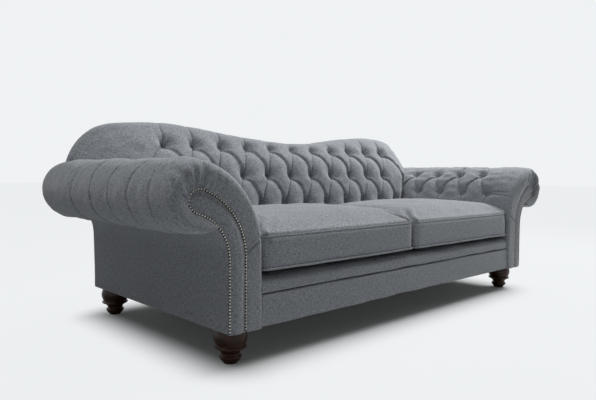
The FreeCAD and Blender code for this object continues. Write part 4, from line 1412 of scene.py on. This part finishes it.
def make_camera():
    ahead = Vector((math.sin(YAW) * math.cos(TILT), math.cos(YAW) * math.cos(TILT), -math.sin(TILT)))
    level = ahead.cross(Vector((0, 0, 1))).normalized()
    upright = level.cross(ahead)
    right = math.cos(CAMERA_ROLL) * level + math.sin(CAMERA_ROLL) * upright
    up = math.cos(CAMERA_ROLL) * upright - math.sin(CAMERA_ROLL) * level
    data = bpy.data.cameras.new("camera")
    data.lens, data.sensor_width, data.sensor_fit = LENS, SENSOR, "HORIZONTAL"
    camera = new_object("camera", data)
    turn = Matrix((right, up, -ahead)).transposed().to_4x4()
    camera.matrix_world = Matrix.Translation(CAMERA_PLACE) @ turn
    bpy.context.scene.camera = camera


def softbox(name, place, aim, size, power):
    light = bpy.data.lights.new(name, "AREA")
    light.shape, light.size, light.size_y, light.energy = "RECTANGLE", size, size, power
    obj = new_object(name, light)
    obj.location = place
    obj.rotation_euler = (Vector(aim) - Vector(place)).to_track_quat("-Z", "Y").to_euler()


def make_world():
    """An even fill of light; the camera and glossy surfaces see the pale backdrop instead."""
    world = bpy.data.worlds.new("studio")
    bpy.context.scene.world = world
    world.use_nodes = True
    world.node_tree.nodes.clear()
    sky = Nodes(world.node_tree)
    ray = sky.node("LightPath").outputs
    seen = sky.math("MAXIMUM", ray["Is Camera Ray"], ray["Is Glossy Ray"])
    fill = sky.node("Background", {"Color": (1, 1, 1, 1), "Strength": FILL_LIGHT}).outputs[0]
    backdrop = sky.node("Background", {"Color": BACKDROP}).outputs[0]
    mix = sky.node("MixShader", {0: seen, 1: fill, 2: backdrop}).outputs[0]
    sky.node("OutputWorld", {"Surface": mix})


def make_floor():
    """A pale floor. Away from the sofa the camera sees a painted glow in the backdrop's colour; beside it
    the shadow stays, though the glow fades in from just inside the sofa's footprint and lifts the shadow a
    little even under the sofa.
    """
    mesh = bpy.data.meshes.new("floor")
    signs = ((-1, -1), (1, -1), (1, 1), (-1, 1))
    mesh.from_pydata([(sx * FLOOR_REACH, sy * FLOOR_REACH, 0) for sx, sy in signs], [], [(0, 1, 2, 3)])
    floor = new_object("floor", mesh)
    s = Shader("studio_floor", {"Roughness": 0.8})
    s.colour(s.noise(s.coordinates(), 1.3), (0.3, FLOOR_DARK), (0.7, FLOOR_LIGHT))
    axes = s.node("SeparateXYZ", {"Vector": s.coordinates()}).outputs
    squares = []
    for axis, half in SHADOW_HALF.items():
        beside = s.math("MAXIMUM", s.math("SUBTRACT", s.math("ABSOLUTE", axes[axis]), half), 0.0)
        squares.append(s.math("MULTIPLY", beside, beside))
    # The share of painted glow: a little under the sofa, rising over SHADOW_FADE to nearly all of it, which
    # lightens the edge of the cast shadow.
    clear = s.node("MapRange", {
        "Value": s.math("SQRT", s.math("ADD", *squares)), "From Min": 0.0, "From Max": SHADOW_FADE,
        "To Min": 0.025, "To Max": 0.95,
    }, interpolation_type="SMOOTHSTEP").outputs["Result"]
    seen = s.math("MULTIPLY", s.node("LightPath").outputs["Is Camera Ray"], clear)
    glow = s.node("Emission", {"Color": BACKDROP, "Strength": 1.0}).outputs[0]
    mix = s.node("MixShader", {0: seen, 1: s.surface.outputs[0], 2: glow}).outputs[0]
    s.put(s.tree.nodes["Material Output"], {"Surface": mix})
    mesh.materials.append(s.material)


make_camera()
softbox("key", (2.7, -0.15, 3.1), (0, 0, 0.4), 2.6, 192)
softbox("left_top", (-1.7, -0.2, 2.9), (-1.1, 0, 0.5), 1.3, 33)
make_world()
make_floor()
bpy.context.scene.view_settings.view_transform = "Standard"

make_back()
for (side, name), seed in zip(SIDES, (101, 131)):
    make_arm(side, name, seed)
    make_facing(side, name, seed + 1)
    make_nails(side, name, seed + 2)
    make_outside_arm(side, name, seed + 3)
make_buttons()
make_seat_front()
make_platform()
make_dust_cover()
make_feet()
make_outside_back()
make_cushions()
for _, name in SIDES:
    make_zip(name)
    make_slider(name)

# Pieces that keep the frame's own solids
PAIRED_BOARDS = (
    "arm_front_board", "arm_rear_board", "arm_top_rail", "arm_tack_rail", "side_rail", "arm_lining",
)
PLAIN = {
    FRAME_WOOD: [board + "_" + name for board in PAIRED_BOARDS for _, name in SIDES] + [
        "front_rail", "seat_back_rail", "back_rail", "centre_stretcher", "corner_blocks", "back_ribs",
        "back_top_rail",
    ],
    WEBBING: ["seat_webbing_long", "seat_webbing_cross"],
    STEEL: ["foot_studs", "foot_tee_nuts"],
    GLIDE: ["foot_glides"],
}
for material, names in PLAIN.items():
    for name in names:
        nodes[name].data.materials.clear()
        nodes[name].data.materials.append(material)
